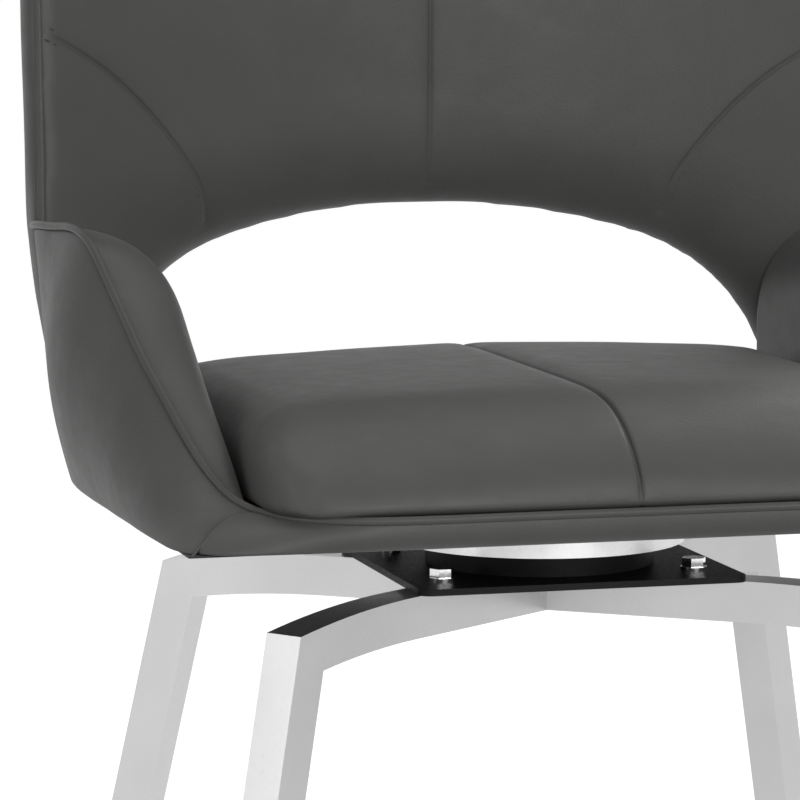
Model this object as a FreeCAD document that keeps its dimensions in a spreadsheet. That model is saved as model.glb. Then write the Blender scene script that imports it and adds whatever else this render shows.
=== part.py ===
import FreeCAD, Part
import math
import os
import Sketcher
from FreeCAD import Placement, Rotation, Vector

os.makedirs("parts", exist_ok=True)
doc = FreeCAD.newDocument("swivel_chair")

# Driving sizes in millimetres and degrees: name, value, meaning
SIZES = [
    ("zero", 0, "origin"),
    ("tube", 25, "side of the square leg tube"),
    ("tube_wall", 1.5, "wall of the square leg tube"),
    ("bar_angle", 37, "plan angle of a bar from the width of the chair"),
    ("bar_top", 358, "height of the bars where they meet"),
    ("bar_drop", 9, "fall of a bar from the centre to its leg"),
    ("bend_start", 140, "reach at which a bar starts to fall"),
    ("corner_reach", 248, "reach of the top corner of a leg"),
    ("leg_lean", 13.15, "outward lean of a leg"),
    ("core_lap", 6, "overrun of the hollow past a cut end"),
    ("glide_height", 6, "thickness of a foot glide under its tube"),
    ("glide_stem", 24, "length of the glide inside its tube"),
    ("glide_gap", 0.2, "gap between a glide stem and the tube"),
    ("plate_half_width", 102, "half width of the lower swivel plate"),
    ("plate_half_depth", 95, "half depth of the lower swivel plate"),
    ("plate_thick", 4, "thickness of the lower swivel plate"),
    ("plate_corner", 8, "corner radius of the lower swivel plate"),
    ("bolt_reach", 99, "reach of a base bolt along its bar"),
    ("bolt_radius", 4, "radius of a base bolt"),
    ("bolt_hex", 7.5, "corner radius of a base bolt head and nut"),
    ("bolt_head", 5.3, "height of a base bolt head"),
    ("bolt_gap", 0.5, "radial gap of a bolt in its hole"),
    ("nut_height", 6.5, "height of a nut"),
    ("bolt_tail", 2, "bolt length past its nut"),
    ("thread_gap", 0.1, "radial gap between a thread and its nut"),
    ("washer_radius", 8, "outer radius of a base washer"),
    ("washer_thick", 1.6, "thickness of a washer"),
    ("race_radius", 62, "radius of the ball circle"),
    ("race_half", 8, "half width of a race ring"),
    ("ball_radius", 4, "radius of a bearing ball"),
    ("ball_gap", 0.1, "gap between a ball and its groove"),
    ("race_gap", 3, "gap between the two race rings"),
    ("cage_half", 5.5, "half width of the ball cage"),
    ("cage_thick", 1.8, "thickness of the ball cage"),
    ("cap_radius", 89, "radius of the upper swivel pan"),
    ("cap_wall", 2.5, "thickness of the upper swivel pan"),
    ("cap_lip", 376, "height of the lower lip of the pan"),
    ("cap_round", 6, "rounding of the pan's upper edge"),
    ("cap_screw_reach", 79, "reach of a pan screw"),
    ("screw_radius", 2.5, "radius of a pan screw"),
    ("screw_head", 4.5, "radius of a pan screw head"),
    ("screw_head_height", 3, "height of a pan screw head"),
    ("screw_length", 12, "length of a pan screw in the board"),
    ("screw_gap", 0.1, "radial gap of a screw in its pilot hole"),
    ("stud_radius", 12, "radius of the pivot stud"),
    ("spigot_radius", 6, "radius of the pivot stud's spigot"),
    ("spigot_gap", 0.1, "radial gap between spigot and pan"),
    ("pivot_play", 0.2, "height play of the pan on the pivot"),
    ("pivot_washer_radius", 14, "outer radius of the pivot washer"),
    ("pivot_washer_thick", 2, "thickness of the pivot washer"),
    ("pivot_hex", 11, "corner radius of the pivot nut"),
    ("pivot_nut_height", 8, "height of the pivot nut"),
    ("pivot_hole", 22, "radius of the board's hole over the pivot"),
    ("board_bottom", 402, "height of the seat board's underside"),
    ("board_thick", 16, "thickness of the seat board"),
    ("board_half", 255, "half width of the seat board"),
    ("board_front", 176, "front reach of the seat board"),
    ("board_nose_cut", 70, "cut of the board's front corners along the front"),
    ("board_cheek_cut", 86, "cut of the board's front corners along the side"),
    ("board_shoulder", 148, "rear reach of the board's wide part"),
    ("tail_post", 58, "side distance from a back post to the board's rear tail"),
    ("cover_thick", 1, "thickness of the dust cover"),
    ("cover_hole_gap", 3, "gap between the pan and the dust cover"),
    ("cover_margin", 5, "reach of the dust cover past the board"),
    ("soft_gap", 0.3, "gap between a pad and its neighbour"),
    ("seat_side_gap", 1, "gap between the seat cushion and an arm pad"),
    ("seat_front", 192, "front reach of the seat cushion"),
    ("seat_corner", 48, "plan radius of the cushion's front corners"),
    ("seat_rear_corner", 45, "plan radius of the cushion's rear corners"),
    ("seat_crest", 483, "height of the cushion's crown"),
    ("seat_dome", 1900, "radius of the cushion's crown"),
    ("seat_crest_back", 30, "rear reach of the top of the crown"),
    ("seat_front_round", 46, "rounding of the cushion's front edge"),
    ("seat_side_round", 24, "rounding of the cushion's side and rear edges"),
    ("back_top", 870, "height of the backrest"),
    ("back_over", 29, "overhang of the backrest past the side of the board"),
    ("back_radius", 500, "plan radius of the backrest's front"),
    ("back_thick", 46, "thickness of the backrest"),
    ("back_front", 230, "rear reach of the backrest's front at the board"),
    ("back_recline", 5, "recline of the backrest"),
    ("back_corner", 80, "radius of the backrest's top corners"),
    ("back_round", 9, "rounding of the backrest's edges"),
    ("arch_top", 562, "height of the back opening's crown"),
    ("arch_radius", 525, "radius of the back opening's crown"),
    ("arch_post", 101, "side distance from a back post to the end of the opening's crown"),
    ("arch_round", 26, "rounding of the opening's front edge"),
    ("arch_corner", 115, "radius of the back opening's corners"),
    ("back_waist", 600, "height at which the backrest starts to narrow downward"),
    ("back_tuck", 36, "narrowing of the backrest's side down to its lower end"),
    ("arm_seat", 42, "width of an arm pad on the board"),
    ("arm_over", 16, "overhang of an arm pad's lower edge past the side of the board"),
    ("arm_foot_turn", 48, "turn-in of an arm pad's lower edge behind the back's front"),
    ("arm_ridge", 68, "width from an arm pad's inner side to its ridge at the back"),
    ("arm_swell", 16, "fullness of an arm pad's outer side"),
    ("arm_fall", 68, "fall from an arm pad's ridge to its inner side at the back"),
    ("arm_nose_rise", 17, "height of an arm pad's front end over its lower edge"),
    ("arm_climb", 148, "climb of an arm pad from its front end to the back"),
    ("arm_front", 188, "front reach of an arm pad"),
    ("arm_rear", 205, "rear reach of an arm pad before it meets the back"),
    ("band_depth", 15.5, "depth of the front band"),
    ("band_round", 5, "rounding of the front band"),
    ("rear_band_top", 452, "height of the rear band"),
    ("rear_band_thick", 18, "thickness of the rear band"),
    ("post_inset", 11, "inset of a back post from the side of the board"),
    ("post_radius", 10, "radius of a back post"),
    ("post_wall", 1.5, "wall of a frame tube"),
    ("rail_radius", 8, "radius of a back rail"),
    ("post_bend", 40, "bend radius of a back post"),
    ("post_foot_front", 95, "front reach of a back post's foot"),
    ("post_cover", 48, "cover of the backrest over the top of a back post"),
    ("rail_drop", 22, "distance of the upper back rail under the top of the posts"),
    ("rail_clear", 50, "height of the lower back rail over the opening's crown"),
    ("frame_bolt_front", 70, "front reach of the front frame bolts"),
    ("frame_bolt_rear", 95, "rear reach of the rear frame bolts"),
    ("frame_bolt_radius", 3, "radius of a frame bolt"),
    ("frame_bolt_head", 5, "radius of a frame bolt head"),
    ("frame_bolt_head_height", 4, "height of a frame bolt head"),
    ("tee_barrel", 4.5, "radius of a tee nut's barrel"),
    ("tee_flange", 9, "radius of a tee nut's flange"),
    ("tee_flange_thick", 1.5, "thickness of a tee nut's flange"),
    ("tee_length", 11, "length of a tee nut"),
]

# Sizes that follow from the driving ones
DERIVED = [
    ("lean_tan", "=tan(leg_lean * 1 deg)", "slope of a leg"),
    ("lean_cos", "=cos(leg_lean * 1 deg)", "cosine of the lean"),
    ("lean_sin", "=sin(leg_lean * 1 deg)", "sine of the lean"),
    ("corner_z", "=bar_top - bar_drop", "height of a leg's top corner"),
    ("bar_bottom", "=bar_top - tube", "underside of the bars"),
    ("bend_run", "=corner_reach - bend_start", "length of the falling part"),
    ("bend_radius", "=(bend_run^2 + bar_drop^2) / (2 * bar_drop)", "radius of the bar's top"),
    ("bend_radius_in", "=bend_radius - tube", "radius of the bar's underside"),
    ("mitre_x", "=bend_run - tube * lean_cos", "mitre start from the bend's centre"),
    ("mitre_z", "=bend_radius - bar_drop - tube * lean_sin", "mitre start above the bend's centre"),
    ("mitre_b", "=mitre_z * lean_cos - mitre_x * lean_sin", "mitre step term"),
    ("mitre_c", "=mitre_x^2 + mitre_z^2 - bend_radius_in^2", "mitre distance term"),
    ("mitre_step", "=sqrt(mitre_b^2 - mitre_c) - mitre_b", "step along the leg to the inner corner"),
    ("inner_reach", "=bend_start + mitre_x - mitre_step * lean_sin", "reach of the inner corner"),
    ("inner_z", "=bar_top - bend_radius + mitre_z + mitre_step * lean_cos", "inner corner height"),
    ("core_top", "=bar_top - tube_wall", "top of a bar's hollow"),
    ("core_bottom", "=bar_bottom + tube_wall", "bottom of a bar's hollow"),
    ("core_radius_top", "=bend_radius - tube_wall", "radius of the hollow's top"),
    ("core_radius_bottom", "=bend_radius_in + tube_wall", "radius of the hollow's bottom"),
    ("core_end", "=corner_reach + core_lap", "outer end of a bar's hollow"),
    ("core_end_run", "=bend_run + core_lap", "run of the hollow past the bend"),
    ("core_end_top", "=bar_top - bend_radius + sqrt(core_radius_top^2 - core_end_run^2)", "hollow end"),
    ("core_end_low", "=bar_top - bend_radius + sqrt(core_radius_bottom^2 - core_end_run^2)", "hollow end"),
    ("tip_half", "=tube", "half width of the cut at a bar's tip"),
    ("tip_long", "=tip_half / tan(bar_angle * 1 deg)", "long side of the tip"),
    ("tip_short", "=tip_half * tan(bar_angle * 1 deg)", "short side of the tip"),
    ("foot_out", "=corner_reach + (corner_z - glide_height) * lean_tan", "outer reach of a tube's end"),
    ("foot_in", "=foot_out - tube / lean_cos", "inner reach of a tube's end"),
    ("floor_out", "=corner_reach + corner_z * lean_tan", "outer reach of a glide on the floor"),
    ("floor_in", "=floor_out - tube / lean_cos", "inner reach of a glide on the floor"),
    ("bore_top", "=corner_z + core_lap", "upper end of a leg's hollow"),
    ("bore_low", "=glide_height - core_lap", "lower end of a leg's hollow"),
    ("bore_top_out", "=corner_reach - core_lap * lean_tan - tube_wall / lean_cos", "hollow corner"),
    ("bore_top_in", "=bore_top_out - (tube - 2 * tube_wall) / lean_cos", "hollow corner"),
    ("bore_low_out", "=foot_out + core_lap * lean_tan - tube_wall / lean_cos", "hollow corner"),
    ("bore_low_in", "=bore_low_out - (tube - 2 * tube_wall) / lean_cos", "hollow corner"),
    ("stem_top", "=glide_height + glide_stem", "top of a glide's stem"),
    ("stem_inset", "=(tube_wall + glide_gap) / lean_cos", "stem set in from the tube"),
    ("stem_low_out", "=foot_out - stem_inset", "stem corner"),
    ("stem_low_in", "=foot_in + stem_inset", "stem corner"),
    ("stem_top_out", "=stem_low_out - glide_stem * lean_tan", "stem corner"),
    ("stem_top_in", "=stem_low_in - glide_stem * lean_tan", "stem corner"),
    ("stem_width", "=tube - 2 * tube_wall - 2 * glide_gap", "width of a glide's stem"),
    ("core_width", "=tube - 2 * tube_wall", "inside width of a tube"),
    ("plate_top", "=bar_top + plate_thick", "top of the lower swivel plate"),
    ("bolt_hole", "=bolt_radius + bolt_gap", "radius of a base bolt hole"),
    ("bolt_x", "=bolt_reach * cos(bar_angle * 1 deg)", "side reach of a base bolt"),
    ("bolt_y", "=bolt_reach * sin(bar_angle * 1 deg)", "front reach of a base bolt"),
    ("bolt_hole_depth", "=tube_wall + 3", "depth of the bolt hole cut"),
    ("bolt_hole_start", "=bar_top + 1", "start of the bolt hole cut"),
    ("nut_bore", "=bolt_radius + thread_gap", "bore of a base nut"),
    ("weld_nut_z", "=bar_top - tube_wall - nut_height", "underside of a weld nut"),
    ("bolt_head_z", "=plate_top + washer_thick", "underside of a base bolt head"),
    ("bolt_end_z", "=weld_nut_z - bolt_tail", "lower end of a base bolt"),
    ("bolt_shank", "=bolt_head_z - bolt_end_z", "length of a base bolt under its head"),
    ("cap_under", "=board_bottom - cap_wall", "underside of the pan's top"),
    ("ball_z", "=(plate_top + cap_under) / 2", "height of the ball circle"),
    ("groove_radius", "=ball_radius + ball_gap", "radius of a ball groove"),
    ("groove_half", "=sqrt(groove_radius^2 - race_gap^2 / 4)", "half width of a ball groove"),
    ("race_in", "=race_radius - race_half", "inner radius of a race"),
    ("race_out", "=race_radius + race_half", "outer radius of a race"),
    ("groove_in", "=race_radius - groove_half", "inner edge of a groove"),
    ("groove_out", "=race_radius + groove_half", "outer edge of a groove"),
    ("lower_race_top", "=ball_z - race_gap / 2", "top of the lower race"),
    ("upper_race_low", "=ball_z + race_gap / 2", "underside of the upper race"),
    ("cage_in", "=race_radius - cage_half", "inner radius of the cage"),
    ("cage_out", "=race_radius + cage_half", "outer radius of the cage"),
    ("cage_low", "=ball_z - cage_thick / 2", "underside of the cage"),
    ("hub_radius", "=spigot_radius + spigot_gap", "bore of the pan"),
    ("cap_inside", "=cap_radius - cap_wall", "inside radius of the pan"),
    ("cap_round_x", "=cap_radius - cap_round", "start of the pan's rounding"),
    ("cap_round_z", "=board_bottom - cap_round", "start of the pan's rounding"),
    ("cap_screw_xy", "=cap_screw_reach * sqrt(0.5)", "reach of a pan screw along each axis"),
    ("cap_screw_hole", "=screw_radius + bolt_gap", "radius of a pan screw hole"),
    ("pilot_hole", "=screw_radius + screw_gap", "radius of a pilot hole"),
    ("screw_head_z", "=cap_under - screw_head_height", "underside of a pan screw head"),
    ("screw_shank", "=cap_wall + screw_length", "length of a pan screw"),
    ("stud_top", "=cap_under - pivot_play", "top of the stud's shoulder"),
    ("pivot_washer_z", "=board_bottom + pivot_play", "underside of the pivot washer"),
    ("pivot_nut_z", "=pivot_washer_z + pivot_washer_thick", "underside of the pivot nut"),
    ("spigot_top", "=pivot_nut_z + pivot_nut_height", "top of the pivot stud"),
    ("pivot_bore", "=spigot_radius + thread_gap", "bore of the pivot nut and washer"),
    ("board_top", "=board_bottom + board_thick", "top of the seat board"),
    ("back_slope", "=tan(back_recline * 1 deg)", "recline per unit of height"),
    ("back_axis", "=back_radius - back_front", "front reach of the back's plan centre at the board"),
    ("arm_inner", "=board_half - arm_seat", "inner reach of an arm pad"),
    ("arm_foot", "=board_half + arm_over", "outer reach of an arm pad at its lower edge"),
    ("seat_half", "=arm_inner - seat_side_gap", "half width of the seat cushion"),
    ("post_x", "=board_half - post_inset", "half spacing of the back posts"),
    ("board_tail", "=post_x - tail_post", "half width of the board's rear tail"),
    ("board_nose", "=board_half - board_nose_cut", "half width of the board's front edge"),
    ("board_cheek", "=board_front - board_cheek_cut", "front reach of the board's full width"),
    ("back_half", "=board_half + back_over", "half width of the backrest"),
    ("arch_half", "=post_x - arch_post", "half width of the back opening's crown"),
    ("band_half", "=arm_inner - soft_gap", "half width of the front band"),
    ("rear_band_half", "=band_half", "half width of the rear band"),
    ("seat_rear_radius", "=back_radius - 10", "plan radius of the cushion's rear"),
    ("seat_rear", "=sqrt(seat_rear_radius^2 - seat_half^2) - back_axis", "rear side corner of the cushion"),
    ("seat_corner_x", "=seat_half - seat_corner", "start of the cushion's front corner"),
    ("seat_corner_y", "=seat_front - seat_corner", "end of the cushion's front corner"),
    ("seat_low", "=board_top + soft_gap", "underside of the seat cushion"),
    ("seat_height", "=seat_crest + 20 - seat_low", "height of the cushion before its crown"),
    ("board_rear_radius", "=seat_rear_radius", "plan radius of the board's rear edge"),
    ("board_rear", "=sqrt(board_rear_radius^2 - board_tail^2) - back_axis", "rear corner of the board"),
    ("cover_low", "=board_bottom - 1 - cover_thick", "underside of the dust cover"),
    ("pad_low", "=board_bottom - 1", "lower edge of the pads"),
    ("arm_nose", "=pad_low + arm_nose_rise", "height of an arm pad's front end"),
    ("cover_half", "=board_half + cover_margin", "half width of the dust cover"),
    ("cover_front", "=board_front + cover_margin", "front reach of the dust cover"),
    ("cover_hole", "=cap_radius + cover_hole_gap", "radius of the dust cover's hole"),
    ("band_height", "=board_thick + 0.6", "height of the front band"),
    ("back_side_z", "=back_top - back_corner", "start of the back's top corner"),
    ("back_side_x", "=back_half - back_corner", "end of the back's top corner"),
    ("arch_sine", "=arch_half / arch_radius", "sine of the crown's end slope"),
    ("arch_cosine", "=sqrt(1 - arch_sine^2)", "cosine of the crown's end slope"),
    ("arch_end_z", "=arch_top - arch_radius * (1 - arch_cosine)", "height of the crown's end"),
    ("arch_side_x", "=arch_half + arch_corner * (1 - arch_sine)", "half width of the opening at its foot"),
    ("arch_side_z", "=arch_end_z - arch_corner * arch_cosine", "lower end of the opening's corner"),
    ("back_foot", "=back_half - back_tuck", "half width of the backrest at its lower end"),
    ("back_tuck_run", "=back_waist - pad_low", "height of the backrest's narrowing part"),
    ("back_tuck_radius", "=(back_tuck_run^2 + back_tuck^2) / (2 * back_tuck)", "curve of its side"),
    ("post_axis_z", "=board_top + post_radius", "height of a post's foot"),
    ("post_top", "=back_top - post_cover", "height of the back posts"),
    ("rail_upper", "=post_top - rail_drop", "height of the upper back rail"),
    ("rail_lower", "=arch_top + rail_clear", "height of the lower back rail"),
    ("tee_z", "=board_bottom", "underside of a tee nut"),
    ("tee_bore", "=frame_bolt_radius + thread_gap", "bore of a tee nut"),
    ("tee_sink", "=tee_flange_thick + 0.3", "depth of a tee nut's seat"),
    ("tee_sink_radius", "=tee_flange + 0.3", "radius of a tee nut's seat"),
    ("tee_hole", "=tee_barrel + 0.2", "radius of a tee nut's hole"),
    ("frame_bolt_z", "=post_axis_z + post_radius", "underside of a frame bolt head"),
    ("frame_bolt_shank", "=2 * post_radius + board_thick - 4", "length of a frame bolt"),
]

sheet = doc.addObject("Spreadsheet::Sheet", "sizes")
for row, (name, amount, meaning) in enumerate(SIZES + DERIVED, 1):
    sheet.set(f"A{row}", name)
    sheet.set(f"B{row}", str(amount))
    sheet.setAlias(f"B{row}", name)
    sheet.set(f"C{row}", meaning)
doc.recompute()

nodes = {}


def value(term):
    """Number of a named size; a leading minus turns its sign."""
    if term.startswith("-"):
        return -value(term[1:])
    return float(sheet.get(term))


def formula(term):
    """Expression that reads a named size from the sheet."""
    if term.startswith("-"):
        return "-sizes." + term[1:]
    return "sizes." + term


def bind(item, **terms):
    """Bind properties of a document object to named sizes."""
    for prop, term in terms.items():
        item.setExpression(prop, formula(term))


def place(item, x="zero", y="zero", z="zero"):
    """Bind the position of a document object to named sizes."""
    item.setExpression("Placement.Base.x", formula(x))
    item.setExpression("Placement.Base.y", formula(y))
    item.setExpression("Placement.Base.z", formula(z))


def keep(label, item):
    """Register the document object that is written as a named piece."""
    item.Label = label
    nodes[label] = item
    return item


def new_body(label):
    return doc.addObject("PartDesign::Body", label)


def new_sketch(body, label, plane, offset=None):
    """Sketch on one of the body's own origin planes."""
    sketch = body.newObject("Sketcher::SketchObject", label)
    support = [f for f in body.Origin.OriginFeatures if f.Role == plane][0]
    sketch.AttachmentSupport = [(support, "")]
    sketch.MapMode = "FlatFace"
    if offset:
        sketch.setExpression("AttachmentOffset.Base.z", formula(offset))
    return sketch


def arc_between(start, end, radius, side):
    """Minor arc between two points; side 1 has its centre left of the chord, -1 right."""
    chord = end - start
    half = chord.Length / 2
    normal = Vector(-chord.y, chord.x, 0).normalize() * side
    centre = (start + end) / 2 + normal * math.sqrt(radius ** 2 - half ** 2)
    first, last = (start, end) if side > 0 else (end, start)
    angles = [math.atan2(p.y - centre.y, p.x - centre.x) for p in (first, last)]
    return Part.ArcOfCircle(Part.Circle(centre, Vector(0, 0, 1), radius), angles[0], angles[1])


def pin(sketch, edge, end, x, y):
    """Fix one end of an edge at a named position."""
    for kind, term, axis in (("DistanceX", x, -2), ("DistanceY", y, -1)):
        if term == "zero":
            sketch.addConstraint(Sketcher.Constraint("PointOnObject", edge, end, axis))
            continue
        index = sketch.addConstraint(Sketcher.Constraint(kind, -1, 1, edge, end, value(term)))
        sketch.setExpression(f"Constraints[{index}]", formula(term))


def outline(body, label, plane, corners, arcs=None, offset=None):
    """Closed outline through named corners; arcs gives edge number: (radius, side)."""
    arcs = arcs or {}
    sketch = new_sketch(body, label, plane, offset)
    points = [Vector(value(x), value(y), 0) for x, y in corners]
    count = len(points)
    ends = []
    for edge in range(count):
        start, end = points[edge], points[(edge + 1) % count]
        radius, side = arcs.get(edge, (None, 1))
        if radius:
            sketch.addGeometry(arc_between(start, end, value(radius), side), False)
        else:
            sketch.addGeometry(Part.LineSegment(start, end), False)
        ends.append((1, 2) if side > 0 else (2, 1))
    for edge in range(count):
        after = (edge + 1) % count
        sketch.addConstraint(Sketcher.Constraint("Coincident", edge, ends[edge][1], after, ends[after][0]))
    for edge, (x, y) in enumerate(corners):
        pin(sketch, edge, ends[edge][0], x, y)
    for edge, (radius, side) in arcs.items():
        index = sketch.addConstraint(Sketcher.Constraint("Radius", edge, value(radius)))
        sketch.setExpression(f"Constraints[{index}]", formula(radius))
    return sketch


def circles(body, label, plane, centres, radius, offset=None):
    """Equal circles at named centres."""
    sketch = new_sketch(body, label, plane, offset)
    for edge, (x, y) in enumerate(centres):
        centre = Vector(value(x), value(y), 0)
        sketch.addGeometry(Part.Circle(centre, Vector(0, 0, 1), value(radius)), False)
        pin(sketch, edge, 3, x, y)
        index = sketch.addConstraint(Sketcher.Constraint("Radius", edge, value(radius)))
        sketch.setExpression(f"Constraints[{index}]", formula(radius))
    return sketch


def pad(body, label, sketch, length, symmetric=False):
    feature = body.newObject("PartDesign::Pad", label)
    feature.Profile = sketch
    bind(feature, Length=length)
    if symmetric:
        feature.SideType = "Symmetric"
    sketch.Visibility = False
    return feature


def pocket(body, label, sketch, length=None, symmetric=False, upward=False):
    """Pocket of a named depth, or right through where no depth is given."""
    feature = body.newObject("PartDesign::Pocket", label)
    feature.Profile = sketch
    if length:
        bind(feature, Length=length)
    else:
        feature.Type = "ThroughAll"
    if symmetric:
        feature.SideType = "Symmetric"
    feature.Reversed = upward
    return feature


def turned(label, corners, arcs=None):
    """Body turned about the height axis from a half section."""
    body = new_body(label)
    sketch = outline(body, label + "_section", "XZ_Plane", corners, arcs)
    feature = body.newObject("PartDesign::Revolution", label + "_turn")
    feature.Profile = sketch
    feature.ReferenceAxis = (sketch, ["V_Axis"])
    feature.Angle = 360
    return body


def cylinder(label, radius, height, x="zero", y="zero", z="zero"):
    item = doc.addObject("Part::Cylinder", label)
    bind(item, Radius=radius, Height=height)
    place(item, x, y, z)
    return item


def hexagon(label, radius, height, x="zero", y="zero", z="zero"):
    item = doc.addObject("Part::Prism", label)
    item.Polygon = 6
    bind(item, Circumradius=radius, Height=height)
    place(item, x, y, z)
    return item


def join(label, *items):
    item = doc.addObject("Part::MultiFuse", label)
    item.Shapes = list(items)
    return item


def cut(label, base, tool):
    item = doc.addObject("Part::Cut", label)
    item.Base = base
    item.Tool = tool
    return item


def common(label, first, second):
    item = doc.addObject("Part::Common", label)
    item.Base = first
    item.Tool = second
    return item


def group(label, items):
    """Equal separate solids that share one name."""
    item = doc.addObject("Part::Compound", label)
    item.Links = items
    return keep(label, item)


def solid(label, shape):
    """Document object for a form that is drawn directly."""
    item = doc.addObject("Part::Feature", label)
    item.Shape = shape
    return item


def rounded(label, base, chosen):
    """Round edges of a document object; chosen gives an edge's radius at both ends, or None."""
    doc.recompute()
    item = doc.addObject("Part::Fillet", label)
    item.Base = base
    radii = [(i, chosen(edge)) for i, edge in enumerate(base.Shape.Edges, 1)]
    item.Edges = [(i, pair[0], pair[1]) for i, pair in radii if pair]
    return item


# Leg frames: four bars that meet under the swivel and four leaning legs
CORNERS = {
    "rear_right": (1, 1),
    "rear_left": (-1, 1),
    "front_left": (-1, -1),
    "front_right": (1, -1),
}


def turn_to(body, side_x, side_y):
    """Turn a piece drawn along +X into its own corner of the chair."""
    angle = math.degrees(math.atan2(side_y * math.sin(math.radians(value("bar_angle"))),
                                    side_x * math.cos(math.radians(value("bar_angle")))))
    body.Placement = Placement(Vector(), Rotation(Vector(0, 0, 1), angle))


for corner, (side_x, side_y) in CORNERS.items():
    label = "bar_" + corner
    body = new_body(label)
    profile = outline(
        body, label + "_outline", "XZ_Plane",
        [("zero", "bar_top"), ("bend_start", "bar_top"), ("corner_reach", "corner_z"),
         ("inner_reach", "inner_z"), ("bend_start", "bar_bottom"), ("zero", "bar_bottom")],
        {1: ("bend_radius", -1), 3: ("bend_radius_in", 1)})
    pad(body, label + "_pad", profile, "tube", symmetric=True)
    core = outline(
        body, label + "_core", "XZ_Plane",
        [("-core_lap", "core_top"), ("bend_start", "core_top"), ("core_end", "core_end_top"),
         ("core_end", "core_end_low"), ("bend_start", "core_bottom"), ("-core_lap", "core_bottom")],
        {1: ("core_radius_top", -1), 3: ("core_radius_bottom", 1)})
    pocket(body, label + "_hollow", core, "core_width", symmetric=True)
    long_side = "-" if side_x * side_y > 0 else ""
    short_side = "" if side_x * side_y > 0 else "-"
    tip = outline(
        body, label + "_tip", "XY_Plane",
        [("zero", "zero"), ("tip_long", long_side + "tip_half"), ("-core_lap", long_side + "tip_half"),
         ("-core_lap", short_side + "tip_half"), ("tip_short", short_side + "tip_half")])
    pocket(body, label + "_mitre", tip, symmetric=True)
    hole = circles(body, label + "_bolt_circle", "XY_Plane", [("bolt_reach", "zero")], "bolt_hole",
                   "bolt_hole_start")
    pocket(body, label + "_bolt_hole", hole, "bolt_hole_depth")
    turn_to(body, side_x, side_y)
    keep(label, body)

    label = "leg_" + corner
    body = new_body(label)
    profile = outline(
        body, label + "_outline", "XZ_Plane",
        [("corner_reach", "corner_z"), ("foot_out", "glide_height"),
         ("foot_in", "glide_height"), ("inner_reach", "inner_z")])
    pad(body, label + "_pad", profile, "tube", symmetric=True)
    core = outline(
        body, label + "_core", "XZ_Plane",
        [("bore_top_out", "bore_top"), ("bore_low_out", "bore_low"),
         ("bore_low_in", "bore_low"), ("bore_top_in", "bore_top")])
    pocket(body, label + "_hollow", core, "core_width", symmetric=True)
    turn_to(body, side_x, side_y)
    keep(label, body)

    label = "foot_glide_" + corner
    body = new_body(label)
    sole = outline(
        body, label + "_sole", "XZ_Plane",
        [("foot_out", "glide_height"), ("floor_out", "zero"), ("floor_in", "zero"),
         ("foot_in", "glide_height")])
    pad(body, label + "_sole_pad", sole, "tube", symmetric=True)
    stem = outline(
        body, label + "_stem", "XZ_Plane",
        [("stem_top_out", "stem_top"), ("stem_low_out", "glide_height"),
         ("stem_low_in", "glide_height"), ("stem_top_in", "stem_top")])
    pad(body, label + "_stem_pad", stem, "stem_width", symmetric=True)
    turn_to(body, side_x, side_y)
    keep(label, body)

# Lower swivel plate with its four bolts
PLATE_BOLTS = [(sx + "bolt_x", sy + "bolt_y") for sx in ("", "-") for sy in ("", "-")]

plate = new_body("swivel_base_plate")
sheet_outline = outline(
    plate, "plate_outline", "XY_Plane",
    [("-plate_half_width", "-plate_half_depth"), ("plate_half_width", "-plate_half_depth"),
     ("plate_half_width", "plate_half_depth"), ("-plate_half_width", "plate_half_depth")],
    offset="bar_top")
plate_pad = pad(plate, "plate_pad", sheet_outline, "plate_thick")
plate_holes = circles(plate, "plate_hole_circles", "XY_Plane", PLATE_BOLTS, "bolt_hole", "plate_top")
plate_drilled = pocket(plate, "plate_holes", plate_holes)
doc.recompute()
plate_round = plate.newObject("PartDesign::Fillet", "plate_round")
upright = [f"Edge{i}" for i, edge in enumerate(plate_drilled.Shape.Edges, 1)
           if len(edge.Vertexes) == 2 and abs(edge.tangentAt(edge.FirstParameter).z) > 0.99
           and isinstance(edge.Curve, Part.Line) and abs(edge.Vertexes[0].X) > value("plate_half_width") - 1]
plate_round.Base = (plate_drilled, upright)
bind(plate_round, Radius="plate_corner")
keep("swivel_base_plate", plate)

bolts, washers, weld_nuts = [], [], []
for number, (x, y) in enumerate(PLATE_BOLTS):
    head = hexagon(f"base_bolt_head_{number}", "bolt_hex", "bolt_head", x, y, "bolt_head_z")
    shank = cylinder(f"base_bolt_shank_{number}", "bolt_radius", "bolt_shank", x, y, "bolt_end_z")
    bolts.append(join(f"base_bolt_{number}", head, shank))
    ring = cylinder(f"base_washer_disc_{number}", "washer_radius", "washer_thick", x, y, "plate_top")
    bore = cylinder(f"base_washer_bore_{number}", "bolt_hole", "washer_thick", x, y, "plate_top")
    washers.append(cut(f"base_washer_{number}", ring, bore))
    block = hexagon(f"weld_nut_block_{number}", "bolt_hex", "nut_height", x, y, "weld_nut_z")
    bore = cylinder(f"weld_nut_bore_{number}", "nut_bore", "nut_height", x, y, "weld_nut_z")
    weld_nuts.append(cut(f"weld_nut_{number}", block, bore))
group("base_bolts", bolts)
group("base_washers", washers)
group("weld_nuts", weld_nuts)

# Ball bearing: two race rings, a cage and its balls
keep("lower_race", turned(
    "lower_race",
    [("race_in", "plate_top"), ("race_out", "plate_top"), ("race_out", "lower_race_top"),
     ("groove_out", "lower_race_top"), ("groove_in", "lower_race_top"), ("race_in", "lower_race_top")],
    {3: ("groove_radius", -1)}))
keep("upper_race", turned(
    "upper_race",
    [("race_in", "cap_under"), ("race_in", "upper_race_low"), ("groove_in", "upper_race_low"),
     ("groove_out", "upper_race_low"), ("race_out", "upper_race_low"), ("race_out", "cap_under")],
    {2: ("groove_radius", -1)}))

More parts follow.
